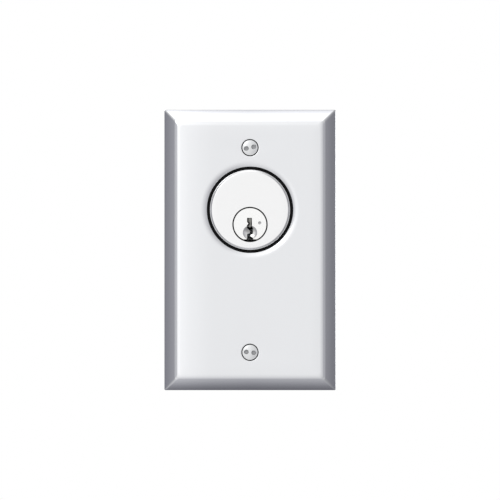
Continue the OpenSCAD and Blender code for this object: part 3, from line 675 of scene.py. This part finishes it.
def rounded_loop(half_x, half_z, radius, depth, steps=8):
    """Points round a rectangle with rounded corners, clockwise from the middle of its top."""
    quarter = []
    for i in range(steps + 1):
        a = math.radians(90 * i / steps)
        quarter.append((half_x - radius * (1 - math.sin(a)), half_z - radius * (1 - math.cos(a))))
    right = quarter + [(x, -z) for x, z in reversed(quarter)]
    left = [(-x, z) for x, z in reversed(right)]
    return [(x, depth, z) for x, z in [(0, half_z)] + right + [(0, -half_z)] + left]


def circle_loop(centre, radius, depth, segments):
    """Points round a circle, clockwise from its top."""
    turns = [math.tau * k / segments for k in range(segments)]
    return [(centre[0] + radius * math.sin(a), depth, centre[1] + radius * math.cos(a)) for a in turns]


class Skin:
    """Loops of vertices joined into faces."""

    def __init__(self):
        self.vertices, self.faces = [], []

    def loop(self, points):
        start = len(self.vertices)
        self.vertices.extend(points)
        return list(range(start, len(self.vertices)))

    def bridge(self, loops):
        self.faces += join(loops)

    def sheet(self, outer, holes):
        """Fill the flat space between a loop and holes along its middle, as a right and a left face."""
        half = len(outer) // 2
        right, left = outer[:half + 1], outer[half:] + outer[:1]
        for hole in sorted(holes, key=lambda h: self.vertices[h[0]][2]):
            right += hole[len(hole) // 2::-1]
        for hole in sorted(holes, key=lambda h: -self.vertices[h[0]][2]):
            left += hole[:1] + hole[:len(hole) // 2 - 1:-1]
        self.faces += [right, left]


def hole_loops(skin, centre, rows, segments):
    """Join a hole's walls into the skin and return its loops, from the front to the back."""
    loops = [skin.loop(circle_loop(centre, radius, depth, segments)) for radius, depth in rows]
    skin.bridge(loops)
    return loops


def screw_places():
    reach = (SCREWS_HIGH.z - SCREWS_LOW.z) / 2 - BOX_HEAD_RADIUS
    return [Vector((0, 0, reach)), Vector((0, 0, -reach))]


class KEYSWITCH_OT_wall_plate(bpy.types.Operator):
    """Make the bevelled wall plate, pressed from sheet, with rolled-in holes"""
    bl_idname = "keyswitch.wall_plate"
    bl_label = "Wall plate"

    def execute(self, context):
        plate = context.scene.plate_settings
        half_x = (PLATE_HIGH.x - PLATE_LOW.x) / 2
        half_z = (PLATE_HIGH.z - PLATE_LOW.z) / 2
        skin = Skin()
        sides = []
        for inset in (0, plate.sheet):
            section = plate_section(plate, inset)
            loops = []
            for i, (inwards, depth) in enumerate(section):
                # The outer corners are crisp and the fold's corners softer.
                share = i / (len(section) - 1)
                corner = plate.corner_round + share * 1.1 * MM
                loops.append(skin.loop(rounded_loop(half_x - inwards, half_z - inwards, corner, depth)))
            skin.bridge(loops)
            sides.append(loops)
        skin.bridge([sides[0][0], sides[1][0]])
        front, back = PLATE_LOW.y, PLATE_LOW.y + plate.sheet
        lock_centre = (CYLINDER_AXIS.x, CYLINDER_AXIS.z)
        holes = []
        steps, lip_round = 14, 0.3 * MM
        rows = [(PLATE_HOLE_RADIUS + lip_round + plate.hole_roll + 0.2 * MM, front)]
        for i in range(steps + 1):
            share = i / steps
            radius = PLATE_HOLE_RADIUS + lip_round + plate.hole_roll * (1 - share)
            rows.append((radius, front + plate.hole_roll_depth * share ** 2.2))
        lip = (PLATE_HOLE_RADIUS + lip_round, front + plate.hole_roll_depth + lip_round)
        slope = math.degrees(math.atan(2.2 * plate.hole_roll_depth / plate.hole_roll))
        rows += [(x, y) for x, y in arc(lip, lip_round, -90 - slope, -180, 6)[1:]]
        rows += [(PLATE_HOLE_RADIUS, back), (PLATE_HOLE_RADIUS + 0.5 * MM, back)]
        holes.append(hole_loops(skin, lock_centre, rows, 144))
        for place in screw_places():
            sink = BOX_SINK_RADIUS
            rows = [(0.7, 0), (0.5, 0.004), (0.22, 0.02), (0.06, 0.06), (0, 0.14)]
            rows = [(sink + wider * MM, front + deeper * MM) for wider, deeper in rows]
            rows += [(2.05 * MM, back - 0.05 * MM), (2.05 * MM, back), (2.5 * MM, back)]
            holes.append(hole_loops(skin, (place.x, place.z), rows, 72))
        for side, end in zip(sides, (0, -1)):
            skin.sheet(side[-1], [hole[end] for hole in holes])
        made = new_object("wall_plate", skin.vertices, skin.faces)
        hand_over(made, "stainless", "root", "faceplate")
        # Painted shade on the screw sinks, in the gap under the screw heads.
        grime(made, "hole_grime", lambda c: c.y > front + 0.1 * MM and any(
            off_axis(c, place) < BOX_SINK_RADIUS for place in screw_places()
        ))
        return {"FINISHED"}


class KEYSWITCH_OT_box_screws(bpy.types.Operator):
    """Make the two spanner-head screws that hold the plate to the wall box"""
    bl_idname = "keyswitch.box_screws"
    bl_label = "Box screws"

    def execute(self, context):
        head, shank = BOX_HEAD_RADIUS, 1.75 * MM
        face = PLATE_LOW.y
        top = SCREWS_LOW.y
        dome_edge = face - top - 0.15 * MM
        dome = (head ** 2 + dome_edge ** 2) / (2 * dome_edge)
        rows = [(0, top)]
        for i in range(1, 13):
            r = (head - 0.1 * MM) * i / 12
            rows.append((r, top + dome - math.sqrt(dome ** 2 - r ** 2)))
        rows += [(head - 0.02 * MM, top + dome_edge - 0.02 * MM), (head, top + dome_edge + 0.06 * MM)]
        rows += [(head, face), (1.9 * MM, face + 1.6 * MM), (1.9 * MM, face + 2.1 * MM)]
        rows += [(shank, face + 2.2 * MM)]
        tip = SCREWS_HIGH.y - 0.7 * MM
        rows += thread_rows(shank, 0.36 * MM, face + 2.4 * MM, tip, PITCH_32)
        rows += [(1.1 * MM, SCREWS_HIGH.y), (0, SCREWS_HIGH.y)]
        turns = [-13, 6]
        for name, place, turn in zip(["box_screw_upper", "box_screw_lower"], screw_places(), turns):
            made = new_object(name, *turned(rows, place, 64, PITCH_32))
            a = math.radians(turn)
            reach = Vector((math.cos(a), 0, -math.sin(a))) * SPANNER_REACH
            holes = [place - reach, place + reach]
            drills = []
            for hole in holes:
                rim = [(0, top - MM), (0.97 * MM, top - MM), (0.97 * MM, top + 0.06 * MM)]
                rim += [(SPANNER_RADIUS, top + 0.22 * MM), (SPANNER_RADIUS, top + 0.75 * MM)]
                rim.append((0, top + 0.85 * MM))
                drills.append(turned(rim, hole, 40))
            cut(made, drills)
            hand_over(made, "screw_steel", "root", "faceplate_screws")
            floor = 0.7 * MM
            # Painted shade on the walls of the spanner holes, and a lighter painted shade on their floors.
            grime(made, "hole_grime", lambda c: c.y > top + 0.2 * MM and any(
                floor < off_axis(c, hole) < 0.9 * MM for hole in holes
            ))
            grime(made, "hole_floor", lambda c: c.y > top + 0.2 * MM and any(
                off_axis(c, hole) < floor for hole in holes
            ))
        return {"FINISHED"}


# ---- Lock cylinder ----

KEYWAY = [
    (-1.2, 2.7), (-1.2, 0.9), (-0.75, 0.6), (-0.75, 0.1), (-1.25, -0.2), (-1.25, -1.4),
    (-0.4, -2.25), (-0.05, -2.6), (-0.05, -3.5), (-1.2, -3.9), (-1.2, -5.6), (-1.4, -5.9),
    (-1.4, -7.5), (1.4, -7.5), (1.4, -5.9), (1.2, -5.5), (0.7, -5.1), (0.05, -4.8),
    (0.1, -4.3), (1.2, -3.9), (1.2, -2.65), (1.1, -2.25), (1.25, -1.8), (1.25, -1.4),
    (0.8, -1.0), (0.8, 2.7),
]


def eased(outline, share=0.22):
    """An outline with each corner cut back a little on both sides."""
    points = []
    for i, point in enumerate(outline):
        here = Vector(point)
        for other in (outline[i - 1], outline[(i + 1) % len(outline)]):
            step = Vector(other) - here
            points.append(here + step * min(share, 0.12 / max(step.length, 1e-6)))
    return points


def chamber_depths():
    return [middle(f"key_pin_{i}").y for i in range(1, PIN_COUNT + 1)]


class KEYSWITCH_OT_lock_body(bpy.types.Operator):
    """Make the lock cylinder's body: satin face, threaded barrel, bores and side grooves"""
    bl_idname = "keyswitch.lock_body"
    bl_label = "Lock body"

    def execute(self, context):
        lock = context.scene.lock_settings
        front, back = SHELL_LOW.y, SHELL_HIGH.y
        shoulder = BRACKET_LOW.y
        edge = lock.edge
        head, chamfer = HEAD_RADIUS, 0.8 * MM
        rows = [(0, front), (head - chamfer - 2 * MM, front), (head - chamfer - 0.3 * MM, front)]
        rows += [(head - chamfer - edge, front + 0.01 * MM), (head - chamfer, front + 0.06 * MM)]
        rows += [(head - edge, front + chamfer - edge), (head, front + chamfer + edge)]
        rows += [(head, shoulder - edge), (head - edge, shoulder), (BARREL_RADIUS, shoulder)]
        start, end = shoulder + 0.3 * MM, back - 0.4 * MM
        rows += thread_rows(BARREL_RADIUS, lock.thread_depth, start, end, lock.thread_pitch)
        rows += [(BARREL_RADIUS - 0.4 * MM, back), (0, back)]
        made = new_object("lock_cylinder_body", *turned(rows, CYLINDER_AXIS, 144, lock.thread_pitch))
        flange, seat = FLANGE_BORE_RADIUS, front + FLANGE_DEPTH + 0.05 * MM
        bore = [(0, front - MM), (flange + MM, front - MM), (flange + 0.02 * MM, front)]
        bore += [(flange, front + 0.03 * MM), (flange, seat)]
        bore += [(BORE_RADIUS, seat), (BORE_RADIUS, back + MM), (0, back + MM)]
        shapes = [turned(bore, PLUG_AXIS, 112)]
        top = CYLINDER_AXIS.z + BARREL_RADIUS + MM
        for depth in chamber_depths():
            shapes.append(upright_rod(0, depth, PLUG_AXIS.z, top, CHAMBER_RADIUS))
        for side in (-1, 1):
            near, far = sorted((side * (BARREL_RADIUS - GROOVE_DEPTH), side * (BARREL_RADIUS + MM)))
            low = (near, shoulder + 0.01 * MM, CYLINDER_AXIS.z - GROOVE_HALF)
            high = (far, back + MM, CYLINDER_AXIS.z + GROOVE_HALF)
            shapes.append(box_shape(low, high))
        shapes.append(drilled(middle("stop_pin"), STOP_RADIUS, back - 2.5 * MM, back + MM, 0.05 * MM))
        cut(made, shapes)
        hand_over(made, "chrome", "root", "cylinder_shell")
        reach = flange + 0.05 * MM
        # Painted shade on the bore round the plug's flange.
        grime(made, "graphite", lambda c: c.y > front + 0.04 * MM and off_axis(c, PLUG_AXIS) < reach)
        return {"FINISHED"}


class KEYSWITCH_OT_lock_plug(bpy.types.Operator):
    """Make the turning plug with its key way, lead-in dish, foot flat and drill mark"""
    bl_idname = "keyswitch.lock_plug"
    bl_label = "Lock plug"

    def execute(self, context):
        front, back = PLUG_LOW.y, PLUG_HIGH.y
        flange, body = PLUG_FLANGE_RADIUS - 0.04 * MM, PLUG_RADIUS
        edge = 0.03 * MM
        rows = [(0, front), (flange - 0.5 * MM, front), (flange - edge, front), (flange, front + edge)]
        seat = front + FLANGE_DEPTH
        rows += [(flange, seat), (body, seat), (body, back - 0.2 * MM)]
        rows += [(body - 0.2 * MM, back), (0, back)]
        made = new_object("lock_plug", *turned(rows, PLUG_AXIS, 112))
        outline = [(PLUG_AXIS.x + x * MM, PLUG_AXIS.z + z * MM) for x, z in eased(KEYWAY)]
        shapes = [prism(outline, front - MM, back + MM)]
        dish, dish_depth, dish_drop = 2.9 * MM, 1.0 * MM, 3.3 * MM
        ball = (dish ** 2 + dish_depth ** 2) / (2 * dish_depth)
        rows = []
        for i in range(25):
            a = math.radians(40) * i / 24
            rows.append((ball * math.sin(a), front + dish_depth - ball * (1 - math.cos(a))))
        rows.append((0, rows[-1][1]))
        shapes.append(turned(rows, PLUG_AXIS - Vector((0, 0, dish_drop)), 80))
        foot = PLUG_AXIS.z - 6.06 * MM
        shapes.append(box_shape((-4 * MM, front - MM, foot - 2 * MM), (4 * MM, front + 2 * MM, foot)))
        mark = PLUG_AXIS + Vector((3.95 * MM, 0, 0.65 * MM))
        cone = [(0, front - MM), (0.7 * MM, front - MM), (0.66 * MM, front), (0.56 * MM, front + 0.05 * MM)]
        cone += [(0.08 * MM, front + 0.28 * MM), (0, front + 0.3 * MM)]
        shapes.append(turned(cone, mark, 40))
        for i, depth in enumerate(chamber_depths(), 1):
            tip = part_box(f"key_pin_{i}")[0].z
            shapes.append(upright_rod(0, depth, tip + 0.6 * MM, tip + 20 * MM, CHAMBER_RADIUS))
        for side in (-1, 1):
            hole = PLUG_AXIS + Vector((side * TAP_REACH, 0, 0))
            shapes.append(drilled(hole, TAP_RADIUS, back - TAP_DEPTH, back + MM))
        cut(made, shapes)
        hand_over(made, "plug_chrome", "plug", "cylinder_plug", 15)
        # Painted shade on the foot flat, the deep key way, the flange's side and the drill mark.
        dirt = [
            ("graphite", lambda c: c.z < foot + 0.01 * MM and front + 0.02 * MM < c.y < front + 2.1 * MM),
            ("graphite", lambda c: c.y > front + 1.05 * MM and off_axis(c, PLUG_AXIS) < 5.9 * MM),
            ("graphite", lambda c: c.y > front + 0.04 * MM and off_axis(c, PLUG_AXIS) > flange - 0.01 * MM),
            ("mark_dust", lambda c: c.y > front + 0.001 * MM and off_axis(c, mark) < 0.72 * MM),
        ]
        for finish, inside in dirt:
            grime(made, finish, inside)
        return {"FINISHED"}


class KEYSWITCH_OT_gap_seal(bpy.types.Operator):
    """Make the rubber seal in the gap round the lock"""
    bl_idname = "keyswitch.gap_seal"
    bl_label = "Gap seal"

    def execute(self, context):
        outer = (SEAL_HIGH.x - SEAL_LOW.x) / 2
        inner = HEAD_RADIUS + SEAL_GAP
        front, back = SEAL_LOW.y, SEAL_HIGH.y
        half = (outer - inner) / 2
        rows = [(inner, back), (outer, back), (outer, front + half)]
        rows += [(inner + half + x, front + half + y) for x, y in arc((0, 0), half, -15, -165, 8)]
        rows.append((inner, front + half))
        made = new_object("gap_seal", *turned(rows, CYLINDER_AXIS, 144, closed=True))
        hand_over(made, "rubber", "root", "cylinder_seal")
        return {"FINISHED"}


class KEYSWITCH_OT_pin_stacks(bpy.types.Operator):
    """Finish the pins, wind their springs and finish the chamber caps"""
    bl_idname = "keyswitch.pin_stacks"
    bl_label = "Pin stacks"

    def execute(self, context):
        wire, turns, sides = 0.16 * MM, 8, 8
        for i in range(1, PIN_COUNT + 1):
            soften(f"key_pin_{i}", "worn_nickel", 0.05)
            soften(f"driver_pin_{i}", "nickel", 0.05)
            soften(f"chamber_cap_{i}", "brass", 0.05)
            low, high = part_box(f"driver_spring_{i}")
            centre = (low + high) / 2
            mean = (high.x - low.x) / 2 - wire
            path = []
            steps = turns * 18
            for k in range(steps + 1):
                share = k / steps
                # The first and last turns lie closed, so the climb starts and ends slowly.
                climb = min(max((share * turns - 0.8) / (turns - 1.6), 0), 1)
                closed = wire * 2.1 * (min(share * turns, 0.8) - min((1 - share) * turns, 0.8) + 0.8) / 1.6
                a = math.tau * share * turns
                z = low.z + wire + closed + climb * (high.z - low.z - 2 * wire - wire * 2.1)
                path.append((centre.x + mean * math.cos(a), centre.y + mean * math.sin(a), z))
            made = new_object(f"driver_coil_{i}", *tube_along(path, wire, sides))
            hand_over(made, "wire", "root", f"driver_spring_{i}")
            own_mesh(made)
        return {"FINISHED"}


class KEYSWITCH_OT_lock_rings(bpy.types.Operator):
    """Finish the ring washer and ring nut that clamp the lock to the bracket"""
    bl_idname = "keyswitch.lock_rings"
    bl_label = "Lock rings"

    def execute(self, context):
        soften("ring_washer", "zinc", 0.1)
        soften("ring_nut", "brass", 0.2)
        return {"FINISHED"}


# ---- Bracket, cam and spring ----

class KEYSWITCH_OT_bracket(bpy.types.Operator):
    """Finish the bent bracket and make the threaded weld studs, washers and nuts that hold it"""
    bl_idname = "keyswitch.bracket"
    bl_label = "Bracket"

    def execute(self, context):
        soften("mounting_bracket", "zinc", 0.18)
        soften("stud_washers", "zinc", 0.08)
        soften("stud_nuts", "zinc", 0.18, 40)
        soften("ground_screw", "green", 0.15)
        pitch, shank, shoulder = 0.6 * MM, 1.75 * MM, 3 * MM
        start, end = STUDS_LOW.y, STUDS_HIGH.y
        web = BRACKET_LOW.y
        reach_x = STUDS_HIGH.x - shoulder
        reach_z = (STUDS_HIGH.z - STUDS_LOW.z) / 2 - shoulder
        rows = [(0, start), (shoulder, start), (shoulder, web - 0.15 * MM), (shoulder - 0.15 * MM, web)]
        rows += [(shank, web)]
        rows += thread_rows(shank, 0.28 * MM, web + 0.3 * MM, end - 0.3 * MM, pitch)
        rows += [(shank - 0.4 * MM, end), (0, end)]
        for height, sz in (("upper", 1), ("lower", -1)):
            for side, sx in (("left", -1), ("right", 1)):
                place = Vector((sx * reach_x, 0, CYLINDER_AXIS.z + sz * reach_z))
                made = new_object(f"weld_stud_{height}_{side}", *turned(rows, place, 48, pitch))
                hand_over(made, "zinc", "root", "weld_studs")
        return {"FINISHED"}


class KEYSWITCH_OT_cam(bpy.types.Operator):
    """Finish the cam, its screws, the spring keeper and the stop pin"""
    bl_idname = "keyswitch.cam"
    bl_label = "Cam"

    def execute(self, context):
        soften("cam", "zinc", 0.12, 35)
        soften("cam_screws", "zinc", 0.12)
        soften("spring_retainer", "zinc", 0.15)
        soften("stop_pin", "wire", 0.15)
        soften("spring_post", "zinc", 0.2)
        return {"FINISHED"}


class KEYSWITCH_OT_return_spring(bpy.types.Operator):
    """Wind the torsion spring from its hook in the cam to its leg on the post"""
    bl_idname = "keyswitch.return_spring"
    bl_label = "Return spring"

    def execute(self, context):
        wire, mean = 0.45 * MM, 6.65 * MM
        first = CAM_LOW.y + 3.1 * MM
        last = COIL_HIGH.y - wire
        # Angles are counted clockwise from the top, seen from the front.
        hook_angle, leg_angle = 45, -90
        sweep = leg_angle - hook_angle - 360 * 3
        steps = 160
        path = []

        def on_coil(angle, depth, radius=mean):
            a = math.radians(angle)
            return Vector((PLUG_AXIS.x + radius * math.sin(a), depth, PLUG_AXIS.z + radius * math.cos(a)))

        for k in range(6):
            path.append(on_coil(hook_angle, COIL_LOW.y + (first - COIL_LOW.y - wire) * k / 5))
        for k in range(1, steps + 1):
            share = k / steps
            path.append(on_coil(hook_angle + sweep * share, first + (last - first) * share))
        foot = COIL_LOW.z
        top = path[-1].copy()
        for k in range(1, 9):
            path.append(Vector((top.x, top.y, top.z + (foot - top.z) * k / 8)))
        made = new_object("return_coil", *tube_along(path, wire - 0.02 * MM, 12))
        made.data.materials.append(finishes()["wire"])
        shade(made)
        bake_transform(made)
        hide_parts("return_spring")
        return {"FINISHED"}


# ---- Snap switch ----

class KEYSWITCH_OT_snap_switch(bpy.types.Operator):
    """Finish the snap switch: case, cover, lever, roller, blade, terminals and screws"""
    bl_idname = "keyswitch.snap_switch"
    bl_label = "Snap switch"

    def execute(self, context):
        soften("switch_case", "case", 0.25)
        soften("switch_cover", "cover", 0.25)
        soften("insulator_sheet", "paper", 0.05)
        soften("switch_plunger", "plunger", 0.1)
        soften("switch_lever", "lever", 0.08)
        soften("lever_hinge_pin", "wire", 0.06)
        soften("lever_roller", "nickel", 0.2)
        soften("roller_pin", "wire", 0.1)
        soften("contact_blade", "terminal", 0.04)
        for name in ("common_terminal", "normally_open_terminal", "normally_closed_terminal"):
            soften(name, "terminal", 0.1)
        soften("switch_screws", "zinc", 0.12)
        soften("switch_nuts", "zinc", 0.15, 40)
        return {"FINISHED"}


# ---- Studio ----

def studio_world():
    """A white studio by direction: soft boxes in front and above, greyer walls at the sides and below."""
    world = bpy.data.worlds.new("white_studio")
    world.use_nodes = True
    tree = world.node_tree
    tree.nodes.clear()
    way = add(tree, "SeparateXYZ", {}, {0: add(tree, "TexCoord").outputs["Generated"]})

    def ramp(source, low, high, stops):
        span = add(tree, "MapRange", {"From Min": low, "From Max": high}, {"Value": source})
        made = add(tree, "ValToRGB", {}, {0: span.outputs["Result"]})
        curve = made.color_ramp
        curve.interpolation = "B_SPLINE"
        while len(curve.elements) < len(stops):
            curve.elements.new(0.5)
        for element, (place, value) in zip(curve.elements, stops):
            element.position = (place - low) / (high - low)
            # The dimmer a wall is, the bluer it looks.
            element.color = (value, value, value * (1 + 0.25 * max(0, 0.5 - value)), 1)
        return made.outputs["Color"]

    sides = ramp(way.outputs["X"], -1, 1, [
        (-1, 0.165), (-0.94, 0.22), (-0.8, 0.33), (-0.66, 0.58), (-0.4, 0.6), (-0.15, 0.56), (0, 0.51),
        (0.15, 0.49), (0.4, 0.45), (0.65, 0.40), (0.8, 0.32), (0.93, 0.22), (1, 0.15),
    ])
    # The floor is lit only in front of the plate, so height is read on a leaning axis.
    axes = {0: way.outputs["Y"], 2: way.outputs["Z"]}
    lean = add(tree, "Math", {"operation": "MULTIPLY_ADD", 1: -0.6}, axes)
    height = ramp(lean.outputs[0], -1.6, 1.6, [
        (-1.6, 0.08), (-1.15, 0.1), (-1.0, 0.17), (-0.87, 0.28), (-0.57, 0.39), (-0.28, 0.45), (0.2, 0.49),
        (0.6, 0.49), (0.75, 0.51), (0.9, 0.54), (1.1, 0.56), (1.6, 0.6),
    ])
    ceiling = ramp(way.outputs["Z"], -1, 1, [(-1, 0.5), (0.9, 0.5), (0.97, 0.65), (1, 0.9)])
    behind = ramp(way.outputs["Y"], -1, 1, [
        (-1, 0.5), (-0.15, 0.5), (0, 0.45), (0.25, 0.3), (0.45, 0.18), (0.8, 0.28), (1, 0.55),
    ])
    # The studio's corners, between its walls and its ceiling or floor, are dimmer than the walls.
    corner = add(tree, "Math", {"operation": "MULTIPLY"}, {0: way.outputs["X"], 1: way.outputs["Z"]})
    towards = add(tree, "Math", {"operation": "ABSOLUTE"}, {0: corner.outputs[0]})
    halved = {"From Max": 0.5, "To Min": 1.0, "To Max": 0.5}
    dim = add(tree, "MapRange", halved, {"Value": towards.outputs[0]})
    light = sides
    for part in (dim.outputs["Result"], height, ceiling, behind):
        light = add(tree, "VectorMath", {"operation": "MULTIPLY"}, {0: light, 1: part}).outputs[0]
    studio = add(tree, "Background", {"Strength": STUDIO_STRENGTH}, {"Color": light})
    plain = add(tree, "Background", {"Color": (1, 1, 1, 1), "Strength": 1.0})
    seen = add(tree, "LightPath")
    parts = {0: seen.outputs["Is Camera Ray"], 1: studio.outputs[0], 2: plain.outputs[0]}
    mix = add(tree, "MixShader", {}, parts)
    add(tree, "OutputWorld", {}, {"Surface": mix.outputs[0]})
    bpy.context.scene.world = world


def soft_light(name, place, aim, size, power):
    data = bpy.data.lights.new(name, "AREA")
    data.shape = "DISK"
    data.size = size
    data.energy = power
    made = bpy.data.objects.new(name, data)
    made.location = place
    made.rotation_euler = (Vector(aim) - Vector(place)).to_track_quat("-Z", "Y").to_euler()
    made.visible_camera = False
    bpy.context.scene.collection.objects.link(made)


class KEYSWITCH_OT_studio(bpy.types.Operator):
    """Set the white studio, its soft lights, the pale floor and the camera"""
    bl_idname = "keyswitch.studio"
    bl_label = "Studio"

    def execute(self, context):
        scene = context.scene
        studio = scene.studio_settings
        scene.view_settings.view_transform = "Standard"
        studio_world()
        soft_light("key_light", (-0.55, -1.0, 0.6), (0, 0, 0), 0.5, studio.key_power)
        soft_light("rear_light_left", (-0.6, 0.8, 0.6), (0, 0, 0), 0.5, studio.fill_power)
        soft_light("rear_light_right", (0.8, 0.7, 0.1), (0, 0, 0), 0.5, studio.fill_power * 0.6)
        # One-sided and below the piece, so it lights nothing but the floor.
        soft_light("floor_light", (0, 0, -0.3), (0, 0, -1), 5.0, studio.floor_power)
        reach = 3.0
        drop = -studio.floor_drop
        rows = [(-reach, -reach), (reach, -reach), (reach, reach), (-reach, reach)]
        floor = new_object("studio_floor", [(x, y, drop) for x, y in rows], [[0, 1, 2, 3]])
        paint, tree, surface = new_material("studio_paper_matt", linear("F6F6F5"), 0.0, 0.9)
        fleck = noise(tree, 3, 3.0)
        tint(tree, surface, fleck, linear("F4F4F3"), linear("F8F8F7"))
        floor.data.materials.append(paint)
        floor.visible_glossy = False
        lens = bpy.data.cameras.new("camera")
        camera = bpy.data.objects.new("camera", lens)
        scene.collection.objects.link(camera)
        lens.lens = lens.sensor_width * studio.camera_distance / studio.frame_width
        camera.location = (0, -studio.camera_distance + PLATE_LOW.y, 0)
        camera.rotation_euler = (math.radians(90), 0, 0)
        lens.clip_end = 20
        scene.camera = camera
        return {"FINISHED"}


class KEYSWITCH_PT_panel(bpy.types.Panel):
    """Lists the steps that make the key switch."""
    bl_idname = "KEYSWITCH_PT_panel"
    bl_label = "Key Switch"
    bl_space_type = "VIEW_3D"
    bl_region_type = "UI"
    bl_category = "Key Switch"

    def draw(self, context):
        scene = context.scene
        for name in SETTINGS:
            group = getattr(scene, name)
            section = self.layout.box()
            for key in group.__annotations__:
                section.prop(group, key)
        for step in STEPS:
            self.layout.operator(step.bl_idname)


SETTINGS = {
    "plate_settings": PlateSettings,
    "lock_settings": LockSettings,
    "switch_settings": SwitchSettings,
    "studio_settings": StudioSettings,
}
STEPS = [
    KEYSWITCH_OT_studio,
    KEYSWITCH_OT_wall_plate,
    KEYSWITCH_OT_box_screws,
    KEYSWITCH_OT_lock_body,
    KEYSWITCH_OT_lock_plug,
    KEYSWITCH_OT_gap_seal,
    KEYSWITCH_OT_pin_stacks,
    KEYSWITCH_OT_lock_rings,
    KEYSWITCH_OT_bracket,
    KEYSWITCH_OT_cam,
    KEYSWITCH_OT_return_spring,
    KEYSWITCH_OT_snap_switch,
]


def register():
    for group in SETTINGS.values():
        bpy.utils.register_class(group)
    for name, group in SETTINGS.items():
        setattr(bpy.types.Scene, name, bpy.props.PointerProperty(type=group))
    for step in STEPS:
        bpy.utils.register_class(step)
    bpy.utils.register_class(KEYSWITCH_PT_panel)


def unregister():
    bpy.utils.unregister_class(KEYSWITCH_PT_panel)
    for step in reversed(STEPS):
        bpy.utils.unregister_class(step)
    for name in SETTINGS:
        delattr(bpy.types.Scene, name)
    for group in reversed(list(SETTINGS.values())):
        bpy.utils.unregister_class(group)


def main():
    register()
    bpy.ops.keyswitch.studio()
    bpy.ops.keyswitch.wall_plate()
    bpy.ops.keyswitch.box_screws()
    bpy.ops.keyswitch.lock_body()
    bpy.ops.keyswitch.lock_plug()
    bpy.ops.keyswitch.gap_seal()
    bpy.ops.keyswitch.pin_stacks()
    bpy.ops.keyswitch.lock_rings()
    bpy.ops.keyswitch.bracket()
    bpy.ops.keyswitch.cam()
    bpy.ops.keyswitch.return_spring()
    bpy.ops.keyswitch.snap_switch()


if __name__ == "__main__":
    main()
